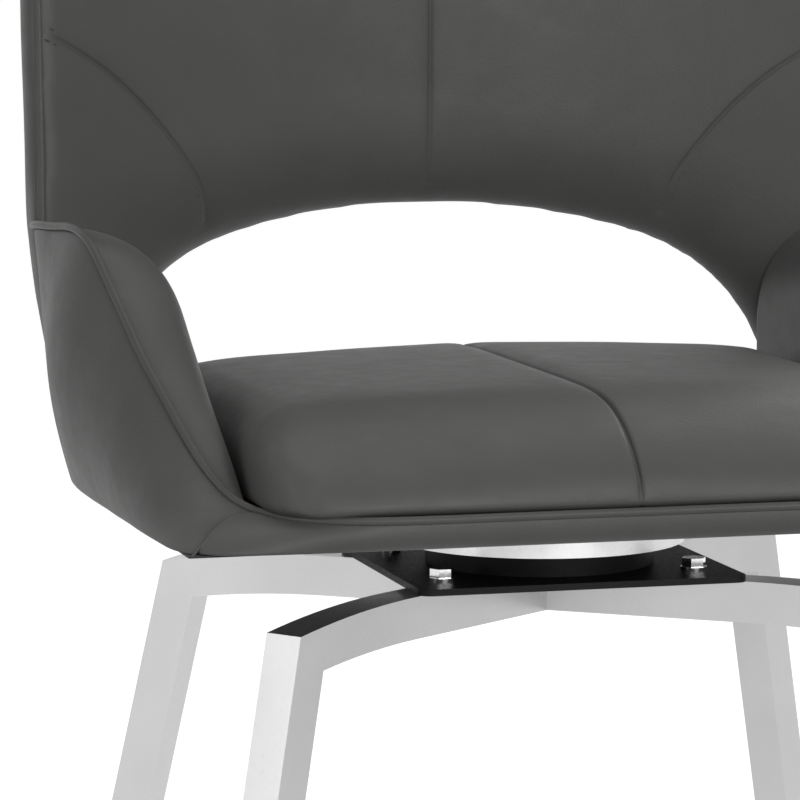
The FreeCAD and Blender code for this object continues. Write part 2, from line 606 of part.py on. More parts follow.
BALLS = 20
balls, ball_holes = [], []
for number in range(BALLS):
    angle = 360 * number / BALLS
    ball = doc.addObject("Part::Sphere", f"ball_{number}")
    ball_hole = doc.addObject("Part::Sphere", f"cage_hole_{number}")
    bind(ball, Radius="ball_radius")
    bind(ball_hole, Radius="groove_radius")
    for item in (ball, ball_hole):
        item.setExpression("Placement.Base.x", f"sizes.race_radius * cos({angle} deg)")
        item.setExpression("Placement.Base.y", f"sizes.race_radius * sin({angle} deg)")
        item.setExpression("Placement.Base.z", "sizes.ball_z")
    balls.append(ball)
    ball_holes.append(ball_hole)
group("bearing_balls", balls)
cage_disc = cylinder("cage_disc", "cage_out", "cage_thick", z="cage_low")
cage_bore = cylinder("cage_bore", "cage_in", "cage_thick", z="cage_low")
cage_ring = cut("cage_ring", cage_disc, cage_bore)
keep("ball_cage", cut("ball_cage", cage_ring, join("cage_holes", *ball_holes)))

# Pivot stud with washer and nut
stud_shaft = turned(
    "pivot_stud",
    [("zero", "plate_top"), ("stud_radius", "plate_top"), ("stud_radius", "stud_top"),
     ("spigot_radius", "stud_top"), ("spigot_radius", "spigot_top"), ("zero", "spigot_top")])
keep("pivot_stud", stud_shaft)
disc = cylinder("pivot_washer_disc", "pivot_washer_radius", "pivot_washer_thick", z="pivot_washer_z")
bore = cylinder("pivot_washer_bore", "pivot_bore", "pivot_washer_thick", z="pivot_washer_z")
keep("pivot_washer", cut("pivot_washer", disc, bore))
block = hexagon("pivot_nut_block", "pivot_hex", "pivot_nut_height", z="pivot_nut_z")
bore = cylinder("pivot_nut_bore", "pivot_bore", "pivot_nut_height", z="pivot_nut_z")
keep("pivot_nut", cut("pivot_nut", block, bore))

# Upper swivel pan and the screws that hold it to the board
PAN_SCREWS = [(sx + "cap_screw_xy", sy + "cap_screw_xy") for sx in ("", "-") for sy in ("", "-")]

pan = turned(
    "swivel_pan",
    [("hub_radius", "cap_under"), ("cap_inside", "cap_under"), ("cap_inside", "cap_lip"),
     ("cap_radius", "cap_lip"), ("cap_radius", "cap_round_z"), ("cap_round_x", "board_bottom"),
     ("hub_radius", "board_bottom")],
    {4: ("cap_round", 1)})
pan_holes = circles(pan, "pan_hole_circles", "XY_Plane", PAN_SCREWS, "cap_screw_hole", "board_bottom")
pocket(pan, "pan_holes", pan_holes)
keep("swivel_pan", pan)

screws = []
for number, (x, y) in enumerate(PAN_SCREWS):
    head = cylinder(f"pan_screw_head_{number}", "screw_head", "screw_head_height", x, y, "screw_head_z")
    shank = cylinder(f"pan_screw_shank_{number}", "screw_radius", "screw_shank", x, y, "cap_under")
    screws.append(join(f"pan_screw_{number}", head, shank))
group("pan_screws", screws)

# Seat board with its holes
FRAME_BOLTS = [(sx + "post_x", y) for sx in ("", "-") for y in ("-frame_bolt_front", "frame_bolt_rear")]
BOARD_CORNERS = [
    ("-board_nose", "-board_front"), ("board_nose", "-board_front"), ("board_half", "-board_cheek"),
    ("board_half", "board_shoulder"), ("board_tail", "board_shoulder"), ("board_tail", "board_rear"),
    ("-board_tail", "board_rear"), ("-board_tail", "board_shoulder"), ("-board_half", "board_shoulder"),
    ("-board_half", "-board_cheek")]

board = new_body("seat_board")
board_outline = outline(board, "board_outline", "XY_Plane", BOARD_CORNERS,
                        {5: ("board_rear_radius", 1)}, "board_bottom")
pad(board, "board_pad", board_outline, "board_thick")
for name, centres, radius in (("pivot_opening", [("zero", "zero")], "pivot_hole"),
                              ("pilot_holes", PAN_SCREWS, "pilot_hole"),
                              ("tee_holes", FRAME_BOLTS, "tee_hole")):
    pocket(board, name, circles(board, name + "_circles", "XY_Plane", centres, radius, "board_top"))
tee_seats = circles(board, "tee_seat_circles", "XY_Plane", FRAME_BOLTS, "tee_sink_radius", "board_bottom")
pocket(board, "tee_seats", tee_seats, "tee_sink", upward=True)
keep("seat_board", board)

cover = new_body("dust_cover")
cover_outline = outline(
    cover, "cover_outline", "XY_Plane",
    [("-cover_half", "-cover_front"), ("cover_half", "-cover_front"), ("cover_half", "board_shoulder"),
     ("board_tail", "board_shoulder"), ("board_tail", "board_rear"), ("-board_tail", "board_rear"),
     ("-board_tail", "board_shoulder"), ("-cover_half", "board_shoulder")],
    {4: ("board_rear_radius", 1)}, "cover_low")
pad(cover, "cover_pad", cover_outline, "cover_thick")
pocket(cover, "cover_opening",
       circles(cover, "cover_circle", "XY_Plane", [("zero", "zero")], "cover_hole", "pad_low"))
keep("dust_cover", cover)


# Back frame: two bent posts bolted to the board and two cross rails
def back_centre(height):
    """Plan centre of the backrest's curve at a height."""
    return value("back_slope") * (height - value("board_top")) - value("back_axis")


BACK_MIDDLE = value("back_radius") + value("back_thick") / 2


def pipe(path, radius):
    """Round solid along a path of lines and arcs."""
    start = path[0].valueAt(path[0].FirstParameter)
    heading = path[0].tangentAt(path[0].FirstParameter)
    ring = Part.Wire([Part.Circle(start, heading, radius).toShape()])
    return Part.Wire(path).makePipeShell([ring], True, False)


def post_path(side):
    """Foot on the board, a bend, and an upright inside the backrest."""
    x = side * value("post_x")
    foot_z = value("post_axis_z")
    knee = Vector(x, back_centre(foot_z) + math.sqrt(BACK_MIDDLE ** 2 - x ** 2), foot_z)
    recline = math.radians(value("back_recline"))
    upright = Vector(0, math.sin(recline), math.cos(recline))
    turn = math.pi / 2 - recline
    setback = value("post_bend") * math.tan(turn / 2)
    bend_in = knee - Vector(0, setback, 0)
    bend_out = knee + upright * setback
    centre = bend_in + Vector(0, 0, value("post_bend"))
    middle = centre + (knee - centre).normalize() * value("post_bend")
    start = Vector(x, -value("post_foot_front"), foot_z)
    end = knee + upright * ((value("post_top") - foot_z) / upright.z)
    return [Part.LineSegment(start, bend_in).toShape(),
            Part.Arc(bend_in, middle, bend_out).toShape(),
            Part.LineSegment(bend_out, end).toShape()]


def rail_path(height):
    """Level arc in the middle of the backrest from post to post."""
    centre = back_centre(height)
    reach = value("post_x")
    side_y = centre + math.sqrt(BACK_MIDDLE ** 2 - reach ** 2)
    return [Part.Arc(Vector(-reach, side_y, height), Vector(0, centre + BACK_MIDDLE, height),
                     Vector(reach, side_y, height)).toShape()]


def tube_shape(path, radius):
    """Hollow round tube along a path."""
    return pipe(path, radius).cut(pipe(path, radius - value("post_wall")))


bolt_bores = []
for number, (x, y) in enumerate(FRAME_BOLTS):
    bolt_bores.append(cylinder(f"post_bore_{number}", "bolt_radius", "frame_bolt_shank", x, y, "board_top"))
post_bores = join("post_bores", *bolt_bores)
for side, name in ((1, "right"), (-1, "left")):
    post_tube = solid(f"post_tube_{name}", tube_shape(post_path(side), value("post_radius")))
    keep(f"back_post_{name}", cut(f"back_post_{name}", post_tube, post_bores))

post_room = solid("post_room", Part.Compound([pipe(post_path(side), value("post_radius")) for side in (1, -1)]))
for height, name in (("rail_upper", "upper"), ("rail_lower", "lower")):
    rail_tube = solid(f"rail_tube_{name}", tube_shape(rail_path(value(height)), value("rail_radius")))
    keep(f"back_rail_{name}", cut(f"back_rail_{name}", rail_tube, post_room))

frame_bolts, tee_nuts = [], []
for number, (x, y) in enumerate(FRAME_BOLTS):
    head = cylinder(f"frame_bolt_head_{number}", "frame_bolt_head", "frame_bolt_head_height", x, y,
                    "frame_bolt_z")
    shank = cylinder(f"frame_bolt_shank_{number}", "frame_bolt_radius", "frame_bolt_shank", x, y)
    shank.setExpression("Placement.Base.z", "sizes.frame_bolt_z - sizes.frame_bolt_shank")
    frame_bolts.append(join(f"frame_bolt_{number}", head, shank))
    flange = cylinder(f"tee_flange_{number}", "tee_flange", "tee_flange_thick", x, y, "tee_z")
    barrel = cylinder(f"tee_barrel_{number}", "tee_barrel", "tee_length", x, y, "tee_z")
    bore = cylinder(f"tee_bore_{number}", "tee_bore", "tee_length", x, y, "tee_z")
    tee_nuts.append(cut(f"tee_nut_{number}", join(f"tee_body_{number}", flange, barrel), bore))
group("frame_bolts", frame_bolts)
group("tee_nuts", tee_nuts)

# Room that the pads leave around the frame, its bolts and the board
post_room_radius = value("post_radius") + value("soft_gap")
rail_room_radius = value("rail_radius") + value("soft_gap")
frame_rooms = [pipe(post_path(side), post_room_radius) for side in (1, -1)]
frame_rooms += [pipe(rail_path(value(height)), rail_room_radius) for height in ("rail_upper", "rail_lower")]
for x, y in FRAME_BOLTS:
    base = Vector(value(x), value(y), value("board_top"))
    tall = value("frame_bolt_z") + value("frame_bolt_head_height") + value("soft_gap") - base.z
    frame_rooms.append(Part.makeCylinder(value("frame_bolt_head") + value("soft_gap"), tall, base))
frame_room = solid("frame_room", frame_rooms[0].multiFuse(frame_rooms[1:]))

# Seat cushion: crowned top with a rolled front edge
cushion = new_body("cushion_block")
cushion_outline = outline(
    cushion, "cushion_outline", "XY_Plane",
    [("-seat_corner_x", "-seat_front"), ("seat_corner_x", "-seat_front"), ("seat_half", "-seat_corner_y"),
     ("seat_half", "seat_rear"), ("-seat_half", "seat_rear"), ("-seat_half", "-seat_corner_y")],
    {1: ("seat_corner", 1), 3: ("seat_rear_radius", 1), 5: ("seat_corner", 1)}, "seat_low")
pad(cushion, "cushion_pad", cushion_outline, "seat_height")
crown = doc.addObject("Part::Sphere", "cushion_crown")
bind(crown, Radius="seat_dome")
crown.Placement = Placement(Vector(), Rotation(Vector(1, 0, 0), 90))
crown.setExpression("Placement.Base.y", "sizes.seat_crest_back")
crown.setExpression("Placement.Base.z", "sizes.seat_crest - sizes.seat_dome")


def rear_corner(edge):
    """Upright rear corners of the cushion."""
    if abs(edge.tangentAt(edge.FirstParameter).z) < 0.99:
        return None
    return [value("seat_rear_corner")] * 2 if edge.Vertexes[0].Y > value("seat_rear") - 1 else None


def cushion_edge(edge):
    """Rolled upper edge, fuller along the front and widening round the front corners."""
    ends = [edge.valueAt(t) for t in (edge.FirstParameter, edge.LastParameter)]
    middle = edge.valueAt((edge.FirstParameter + edge.LastParameter) / 2)
    if middle.z < value("seat_low") + 5 or abs(edge.tangentAt(edge.FirstParameter).z) > 0.9:
        return None
    front = [p.y < 1 - value("seat_front") for p in ends]
    return [value("seat_front_round") if here else value("seat_side_round") for here in front]


cushion_plan = rounded("cushion_plan", cushion, rear_corner)
cushion_crowned = common("cushion_crowned", cushion_plan, crown)
keep("seat_cushion", rounded("seat_cushion", cushion_crowned, cushion_edge))

# Backrest: curved reclined slab with a horseshoe opening
recline_way = Vector(0, value("back_slope"), 1)


def reclined_disc(radius):
    """Plan disc about the back's centre carried up along the recline."""
    low = value("pad_low")
    circle = Part.Circle(Vector(0, back_centre(low), low), Vector(0, 0, 1), radius)
    face = Part.Face(Part.Wire([circle.toShape()]))
    return face.extrude(recline_way * (value("back_top") + 10 - low))


back_slab = solid("back_slab", reclined_disc(value("back_radius") + value("back_thick")).cut(
    reclined_disc(value("back_radius"))))
back_body = new_body("back_face")
back_outline = outline(
    back_body, "back_outline", "XZ_Plane",
    [("arch_side_x", "pad_low"), ("back_foot", "pad_low"), ("back_half", "back_waist"),
     ("back_half", "back_side_z"), ("back_side_x", "back_top"), ("-back_side_x", "back_top"),
     ("-back_half", "back_side_z"), ("-back_half", "back_waist"), ("-back_foot", "pad_low"),
     ("-arch_side_x", "pad_low"), ("-arch_side_x", "arch_side_z"), ("-arch_half", "arch_end_z"),
     ("arch_half", "arch_end_z"), ("arch_side_x", "arch_side_z")],
    {1: ("back_tuck_radius", 1), 3: ("back_corner", 1), 5: ("back_corner", 1), 7: ("back_tuck_radius", 1),
     10: ("arch_corner", -1), 11: ("arch_radius", -1), 12: ("arch_corner", -1)})
back_pad = pad(back_body, "back_pad", back_outline, "back_radius")
back_pad.Reversed = True
back_form = common("back_form", back_slab, back_body)


def back_edge(edge):
    """Where an edge runs round the backrest: its middle, or None for edges through the slab."""
    halfway = (edge.FirstParameter + edge.LastParameter) / 2
    middle = edge.valueAt(halfway)
    through = middle.z < value("pad_low") + 1 or abs(edge.tangentAt(halfway).y) > 0.9
    return None if through else middle


def at_opening_front(middle):
    """Whether a point lies on the front edge of the opening."""
    opening = abs(middle.x) < value("arch_side_x") + 1 and middle.z < value("arch_top") + 1
    return opening and math.hypot(middle.x, middle.y - back_centre(middle.z)) < value("back_radius") + 1


def outer_edge(edge):
    """Edges round the backrest and the rear of its opening."""
    middle = back_edge(edge)
    return [value("back_round")] * 2 if middle and not at_opening_front(middle) else None


def opening_edge(edge):
    """Front edges of the opening, rolled over fully above its straight ends."""
    middle = back_edge(edge)
    if middle is None or not at_opening_front(middle):
        return None
    heights = [edge.valueAt(end).z for end in (edge.FirstParameter, edge.LastParameter)]
    return [value("arch_round" if z > value("arch_side_z") + 1 else "back_round") for z in heights]


back_softened = rounded("back_softened", back_form, opening_edge)
back_rounded = rounded("back_rounded", back_softened, outer_edge)
keep("backrest", cut("backrest", back_rounded, frame_room))

# Each station has shares of: arm length, ridge width, rise, foot turn, swell and fall
ARM_STATIONS = [
    (0.00, 0.06, 0.00, 0.25, 0.25, 0.06),
    (0.07, 0.06, 0.00, 0.07, 0.31, 0.06),
    (0.13, 0.09, 0.02, 0.00, 0.38, 0.07),
    (0.19, 0.32, 0.16, 0.00, 0.63, 0.18),
    (0.27, 0.49, 0.34, 0.00, 0.94, 0.41),
    (0.40, 0.66, 0.61, 0.00, 1.00, 0.71),
    (0.52, 0.78, 0.84, 0.00, 0.88, 0.91),
    (0.62, 0.88, 0.98, 0.00, 0.75, 1.00),
    (0.76, 0.94, 1.00, 0.06, 0.75, 1.00),
    (0.86, 0.98, 1.00, 0.30, 0.90, 1.00),
    (1.00, 1.00, 1.00, 1.00, 1.00, 1.00),
]


def swelling(start, end, bulge):
    """Plain curve between two points that stands out from its chord by a bulge."""
    normal = Vector(0, 1, 0).cross(end - start).normalize()
    curve = Part.BezierCurve()
    curve.setPoles([start, (start + end) / 2 + normal * 2 * bulge, end])
    return curve.toShape()


def arm_section(side, along, ridge, rise, turn, swell, fall):
    """Closed cross section of an arm pad: flat foot, full outer side, ridge and rolled inside."""
    low, inner = value("pad_low"), value("arm_inner")
    y = along * (value("arm_front") + value("arm_rear")) - value("arm_front")
    top = value("arm_nose") + rise * value("arm_climb")

    def at(x, z):
        return Vector(side * x, y, z)

    corner = at(inner, low)
    heel = at(value("arm_foot") - turn * value("arm_foot_turn"), low)
    crest = at(inner + ridge * value("arm_ridge"), top)
    shoulder = at(inner, top - fall * value("arm_fall"))
    return Part.Wire([
        Part.LineSegment(corner, heel).toShape(),
        swelling(heel, crest, side * swell * value("arm_swell")),
        swelling(crest, shoulder, side * 0.2 * (shoulder - crest).Length),
        Part.LineSegment(shoulder, corner).toShape(),
    ])


gap = value("soft_gap")
room_corners = []
for x, y in (("board_nose", "-board_front"), ("board_half", "-board_cheek"), ("board_half", "board_shoulder")):
    room_corners.append(Vector(value(x) + gap, value(y) + math.copysign(gap, value(y)), value("cover_low")))
room_corners += [Vector(-corner.x, corner.y, corner.z) for corner in reversed(room_corners)]
room_face = Part.Face(Part.makePolygon(room_corners + room_corners[:1]))
board_room = solid("board_room", room_face.extrude(Vector(0, 0, value("board_top") + gap - value("cover_low"))))
back_limit = solid("back_limit", reclined_disc(value("back_radius") - gap))
for side, name in ((1, "right"), (-1, "left")):
    sections = [arm_section(side, *station) for station in ARM_STATIONS]
    wing = solid(f"arm_wing_{name}", Part.makeLoft(sections, True, False, False, 3))
    wing_end = common(f"arm_end_{name}", wing, back_limit)
    wing_seat = cut(f"arm_seat_{name}", wing_end, board_room)
    keep(f"arm_pad_{name}", cut(f"arm_pad_{name}", wing_seat, frame_room))

# Bands that close the seat below the cushion at the front and rear
band_box = doc.addObject("Part::Box", "front_band_box")
band_box.setExpression("Length", "2 * sizes.band_half")
bind(band_box, Width="band_depth", Height="band_height")
place(band_box, "-band_half", "-seat_front", "pad_low")


def band_edge(edge):
    """Long front edges of the band."""
    ends = [vertex.Point for vertex in edge.Vertexes]
    front = all(abs(p.y + value("seat_front")) < 0.1 for p in ends)
    return [value("band_round")] * 2 if front and abs(ends[0].x - ends[1].x) > 1 else None


keep("front_band", rounded("front_band", band_box, band_edge))

rear_body = new_body("rear_band_face")
rear_outline = outline(
    rear_body, "rear_outline", "XZ_Plane",
    [("-rear_band_half", "pad_low"), ("rear_band_half", "pad_low"),
     ("rear_band_half", "rear_band_top"), ("-rear_band_half", "rear_band_top")])
rear_pad = pad(rear_body, "rear_pad", rear_outline, "back_radius")
rear_pad.Reversed = True


def plan_disc(radius):
    """Upright disc about the back's plan centre at the board."""
    low = value("pad_low")
    tall = value("rear_band_top") - low + 10
    return Part.makeCylinder(radius, tall, Vector(0, -value("back_axis"), low))


rear_inside = value("seat_rear_radius") + gap
rear_ring = solid("rear_ring", plan_disc(rear_inside + value("rear_band_thick")).cut(plan_disc(rear_inside)))
rear_form = common("rear_form", rear_ring, rear_body)


def rear_edge(edge):
    """Upper long edges of the rear band."""
    middle = edge.valueAt((edge.FirstParameter + edge.LastParameter) / 2)
    level = abs(edge.tangentAt(edge.FirstParameter).x) > 0.6
    return [value("band_round")] * 2 if level and middle.z > value("rear_band_top") - 1 else None


keep("rear_band", rounded("rear_band", rear_form, rear_edge))

# The origin lies on the floor under the middle of the chair's depth
doc.recompute()
depth = FreeCAD.BoundBox()
for item in nodes.values():
    depth.add(item.Shape.optimalBoundingBox(False))
middle = Placement(Vector(0, -depth.Center.y, 0), Rotation())
for item in nodes.values():
    item.Placement = middle.multiply(item.Placement)

# Check every piece and write it
for item in doc.Objects:
    if "Invalid" in item.State or "Error" in item.State:
        raise RuntimeError(f"{item.Label} did not build: {item.State}")
for label, item in nodes.items():
    shape = item.Shape
    if shape.isNull() or not shape.isValid():
        raise RuntimeError(f"{label} has no valid shape")
    shape.exportStep(f"parts/{label}.step")
print(f"{len(nodes)} pieces written, swivel axis at y = {-depth.Center.y:.3f}")
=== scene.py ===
import math
import bmesh
import bpy
import numpy as np
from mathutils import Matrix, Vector


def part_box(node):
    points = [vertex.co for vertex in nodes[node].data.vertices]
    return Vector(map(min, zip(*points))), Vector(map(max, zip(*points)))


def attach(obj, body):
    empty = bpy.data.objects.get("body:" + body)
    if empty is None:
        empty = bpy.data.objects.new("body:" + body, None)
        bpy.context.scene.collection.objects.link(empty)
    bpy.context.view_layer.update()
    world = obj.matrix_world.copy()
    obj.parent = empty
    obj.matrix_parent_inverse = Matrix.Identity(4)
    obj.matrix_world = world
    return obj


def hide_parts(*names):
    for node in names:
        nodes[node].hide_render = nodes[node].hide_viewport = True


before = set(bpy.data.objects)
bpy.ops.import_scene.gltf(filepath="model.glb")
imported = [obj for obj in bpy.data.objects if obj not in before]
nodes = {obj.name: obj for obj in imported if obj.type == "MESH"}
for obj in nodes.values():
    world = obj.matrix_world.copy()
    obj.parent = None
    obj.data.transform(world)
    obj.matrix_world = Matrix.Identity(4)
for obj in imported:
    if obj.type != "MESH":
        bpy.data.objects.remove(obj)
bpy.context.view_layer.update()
scene = bpy.context.scene

# Lengths are in millimetres about the swivel axis; the frame is in metres
MM, PER_METRE = 0.001, 1000
pan_low, pan_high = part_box("swivel_pan")
AXIS_Y = (pan_low.y + pan_high.y) / 2
BOTTOM = 401.0       # underside of the pads
BOARD_TOP = 418.3    # where the seat cushion rests
SIDES = {"left": -1, "right": 1}


def to_frame(points):
    """Millimetres about the swivel axis to the frame's metres."""
    return np.asarray(points, float) * MM + (0, AXIS_Y, 0)


# Curves
def runs(points):
    """Length along a polyline up to each of its points."""
    return np.concatenate([[0], np.cumsum(np.linalg.norm(np.diff(points, axis=0), axis=1))])


def even_path(points, count):
    """Evenly spaced points along a polyline."""
    p = np.asarray(points, float)
    run = runs(p)
    steps = np.linspace(0, run[-1], count)
    return np.stack([np.interp(steps, run, p[:, k]) for k in range(p.shape[1])], 1)


def smooth_path(points, count):
    """Evenly spaced points on a natural cubic through given points."""
    p = np.array(points, float)
    n = len(p)
    knots = runs(p)
    gaps = np.diff(knots)
    system, right = np.eye(n), np.zeros((n, p.shape[1]))
    for i in range(1, n - 1):
        system[i, i - 1:i + 2] = gaps[i - 1], 2 * (gaps[i - 1] + gaps[i]), gaps[i]
        right[i] = 6 * ((p[i + 1] - p[i]) / gaps[i] - (p[i] - p[i - 1]) / gaps[i - 1])
    bend = np.linalg.solve(system, right)
    fine_steps = 40 * n
    t = np.linspace(0, knots[-1], fine_steps)
    i = np.clip(np.searchsorted(knots, t, side="right") - 1, 0, n - 2)
    g = gaps[i][:, None]
    a, b = (knots[i + 1] - t)[:, None] / g, (t - knots[i])[:, None] / g
    curve = ((a ** 3 - a) * bend[i] + (b ** 3 - b) * bend[i + 1]) * g * g / 6
    return even_path(a * p[i] + b * p[i + 1] + curve, count)


def arc(centre, radius, start, end, count):
    """Plane arc, angles in degrees."""
    t = np.radians(np.linspace(start, end, count))
    return np.stack([centre[0] + radius * np.cos(t), centre[1] + radius * np.sin(t)], 1)


def flipped(points):
    """Points mirrored to the other side."""
    return points * ([-1] + [1] * (points.shape[1] - 1))


def both_halves(half):
    """A right half that ends in the middle, and its mirror image."""
    return np.concatenate([half, flipped(half)[::-1][1:]])


def line_distance(points, path):
    """Distance of points to a polyline, in two or three dimensions."""
    best = np.full(len(points), 1e9)
    for a, b in zip(path[:-1], path[1:]):
        ab = b - a
        t = np.clip(((points - a) @ ab) / max(ab @ ab, 1e-12), 0, 1)
        best = np.minimum(best, ((points - a - t[:, None] * ab) ** 2).sum(1))
    return np.sqrt(best)


def inside_polygon(points, polygon):
    """Whether plane points lie inside a closed polygon."""
    x, y = points[:, 0], points[:, 1]
    odd = np.zeros(len(points), bool)
    for (ax, ay), (bx, by) in zip(polygon, np.roll(polygon, -1, axis=0)):
        crosses = (ay > y) != (by > y)
        odd ^= crosses & (x < (bx - ax) * (y - ay) / (by - ay + 1e-12) + ax)
    return odd


# Strips of a section, each given by stacks of start and end points
def straight(start, end, count):
    """Straight strip from start to end."""
    return start[:, None] + (end - start)[:, None] * np.linspace(0, 1, count)[None, :, None]


def swollen(start, end, bulge, outward, count):
    """Curved strip from start to end that stands out by a bulge."""
    t = np.linspace(0, 1, count)[None, :, None]
    pull = ((start + end) / 2 + outward * 2 * bulge[:, None])[:, None]
    return (1 - t) ** 2 * start[:, None] + 2 * t * (1 - t) * pull + t ** 2 * end[:, None]


def side_normal(start, end):
    """Direction across each chord within its section, away from the pad's middle."""
    along = np.gradient((start + end) / 2, axis=0)
    normal = np.cross(end - start, along)
    return normal / np.linalg.norm(normal, axis=1, keepdims=True)


def at_height(plan, height):
    """Plan points at one height."""
    return np.column_stack([plan, np.full(len(plan), height)])


# Meshes
def new_piece(name, points, faces, material):
    """Smooth mesh object with all its faces turned outward."""
    mesh = bpy.data.meshes.new(name)
    mesh.from_pydata(to_frame(points).tolist(), [], faces)
    mesh.validate()
    mesh.update()
    mesh.shade_smooth()
    mesh.materials.append(material)
    piece = bpy.data.objects.new(name, mesh)
    scene.collection.objects.link(piece)
    work = bmesh.new()
    work.from_mesh(mesh)
    bmesh.ops.recalc_face_normals(work, faces=work.faces)
    work.to_mesh(mesh)
    work.free()
    mesh.update()
    return piece


def points_of(piece):
    """Points of a piece in millimetres about the swivel axis."""
    flat = np.empty(len(piece.data.vertices) * 3)
    piece.data.vertices.foreach_get("co", flat)
    return (flat.reshape(-1, 3) - (0, AXIS_Y, 0)) * PER_METRE


def move_points(piece, points):
    piece.data.vertices.foreach_set("co", to_frame(points).ravel())
    piece.data.update()


def normals_of(piece):
    flat = np.empty(len(piece.data.vertices) * 3)
    piece.data.vertex_normals.foreach_get("vector", flat)
    return flat.reshape(-1, 3)


def settle(points, field, rounds):
    """Move points onto the zero surface of a field, a few millimetres a round."""
    probes = np.eye(3) * 0.5
    least_slope, longest_step = 0.05, 3
    for _ in range(rounds):
        here = field(points)
        slope = np.stack([field(points + d) - field(points - d) for d in probes], 1)
        size = np.maximum((slope ** 2).sum(1), least_slope)
        step = -(here / size)[:, None] * slope
        length = np.linalg.norm(step, axis=1, keepdims=True)
        points = points + step * np.minimum(1, longest_step / np.maximum(length, 1e-9))
    return points


def surface_net(field, low, high, step):
    """Closed quad mesh where a field changes sign."""
    axes = [np.arange(low[k] - 2 * step, high[k] + 2.5 * step, step) for k in range(3)]
    grid = np.stack(np.meshgrid(*axes, indexing="ij"), -1)
    shape = grid.shape[:3]
    values = field(grid.reshape(-1, 3)).reshape(shape)
    inner = values < 0
    cells = tuple(s - 1 for s in shape)
    total, hits = np.zeros(cells + (3,)), np.zeros(cells)
    faces = []
    for axis in range(3):
        others = [k for k in range(3) if k != axis]
        for i, j in ((0, 0), (0, 1), (1, 0), (1, 1)):
            first, last = [0, 0, 0], [0, 0, 0]
            first[others[0]] = last[others[0]] = i
            first[others[1]] = last[others[1]] = j
            last[axis] = 1
            a = tuple(slice(o, o + c) for o, c in zip(first, cells))
            b = tuple(slice(o, o + c) for o, c in zip(last, cells))
            cross = inner[a] != inner[b]
            share = values[a] / np.where(cross, values[a] - values[b], 1)
            spot = grid[a] + (grid[b] - grid[a]) * share[..., None]
            total += np.where(cross[..., None], spot, 0)
            hits += cross
    active = hits > 0
    number = np.full(cells, -1)
    number[active] = np.arange(active.sum())
    points = total[active] / hits[active][:, None]
    for axis in range(3):
        others = [k for k in range(3) if k != axis]
        a, b = [slice(1, -1)] * 3, [slice(1, -1)] * 3
        a[axis], b[axis] = slice(0, -1), slice(1, None)
        change = inner[tuple(a)].astype(int) - inner[tuple(b)]
        spots = np.argwhere(change != 0)
        sign = change[change != 0]
        base = spots + [0 if k == axis else 1 for k in range(3)]
        ring = []
        for i, j in ((0, 0), (1, 0), (1, 1), (0, 1)):
            cell = base.copy()
            cell[:, others[0]] -= i
            cell[:, others[1]] -= j
            ring.append(number[tuple(cell.T)])
        ring = np.stack(ring, 1)
        flip = (sign > 0) if axis != 1 else (sign < 0)
        ring[flip] = ring[flip][:, ::-1]
        faces += ring[:, ::-1].tolist()
    return settle(points, field, 4), faces


def lofted(rings):
    """Closed mesh over a stack of closed rings, its ends filled with shrinking rings."""
    count, size = rings.shape[:2]
    points = [rings.reshape(-1, 3)]
    faces = []

    def band(a, b):
        for j in range(size):
            k = (j + 1) % size
            faces.append((a + j, a + k, b + k, b + j))

    for i in range(count - 1):
        band(i * size, (i + 1) * size)
    total = count * size
    for end, ring in ((0, rings[0]), (1, rings[-1])):
        centre = ring.mean(0)
        before = 0 if end == 0 else (count - 1) * size
        for share in (0.72, 0.44, 0.2):
            points.append(centre + (ring - centre) * share)
            band(*((total, before) if end == 0 else (before, total)))
            before, total = total, total + size
        points.append(centre[None])
        for j in range(size):
            a, b = before + j, before + (j + 1) % size
            faces.append((b, a, total) if end == 0 else (a, b, total))
        total += 1
    return np.concatenate(points), faces


def evened(piece, values, rounds, share):
    """Values at the points of a piece, each drawn towards its neighbours' mean."""
    mesh = piece.data
    pairs = np.empty(len(mesh.edges) * 2, int)
    mesh.edges.foreach_get("vertices", pairs)
    a, b = pairs.reshape(-1, 2).T
    count = np.bincount(np.concatenate([a, b]), minlength=len(mesh.vertices))
    count = np.maximum(count, 1)[:, None]
    for _ in range(rounds):
        total = np.zeros_like(values)
        np.add.at(total, a, values[b])
        np.add.at(total, b, values[a])
        values = values + (total / count - values) * share
    return values


def relax(piece, rounds, share):
    """Even out a mesh by moving points towards their neighbours' middle."""
    move_points(piece, evened(piece, points_of(piece), rounds, share))


CLOTH_FRAMES = 20
PIN_STEP = 0.25
EVENING = dict(rounds=40, share=0.5)


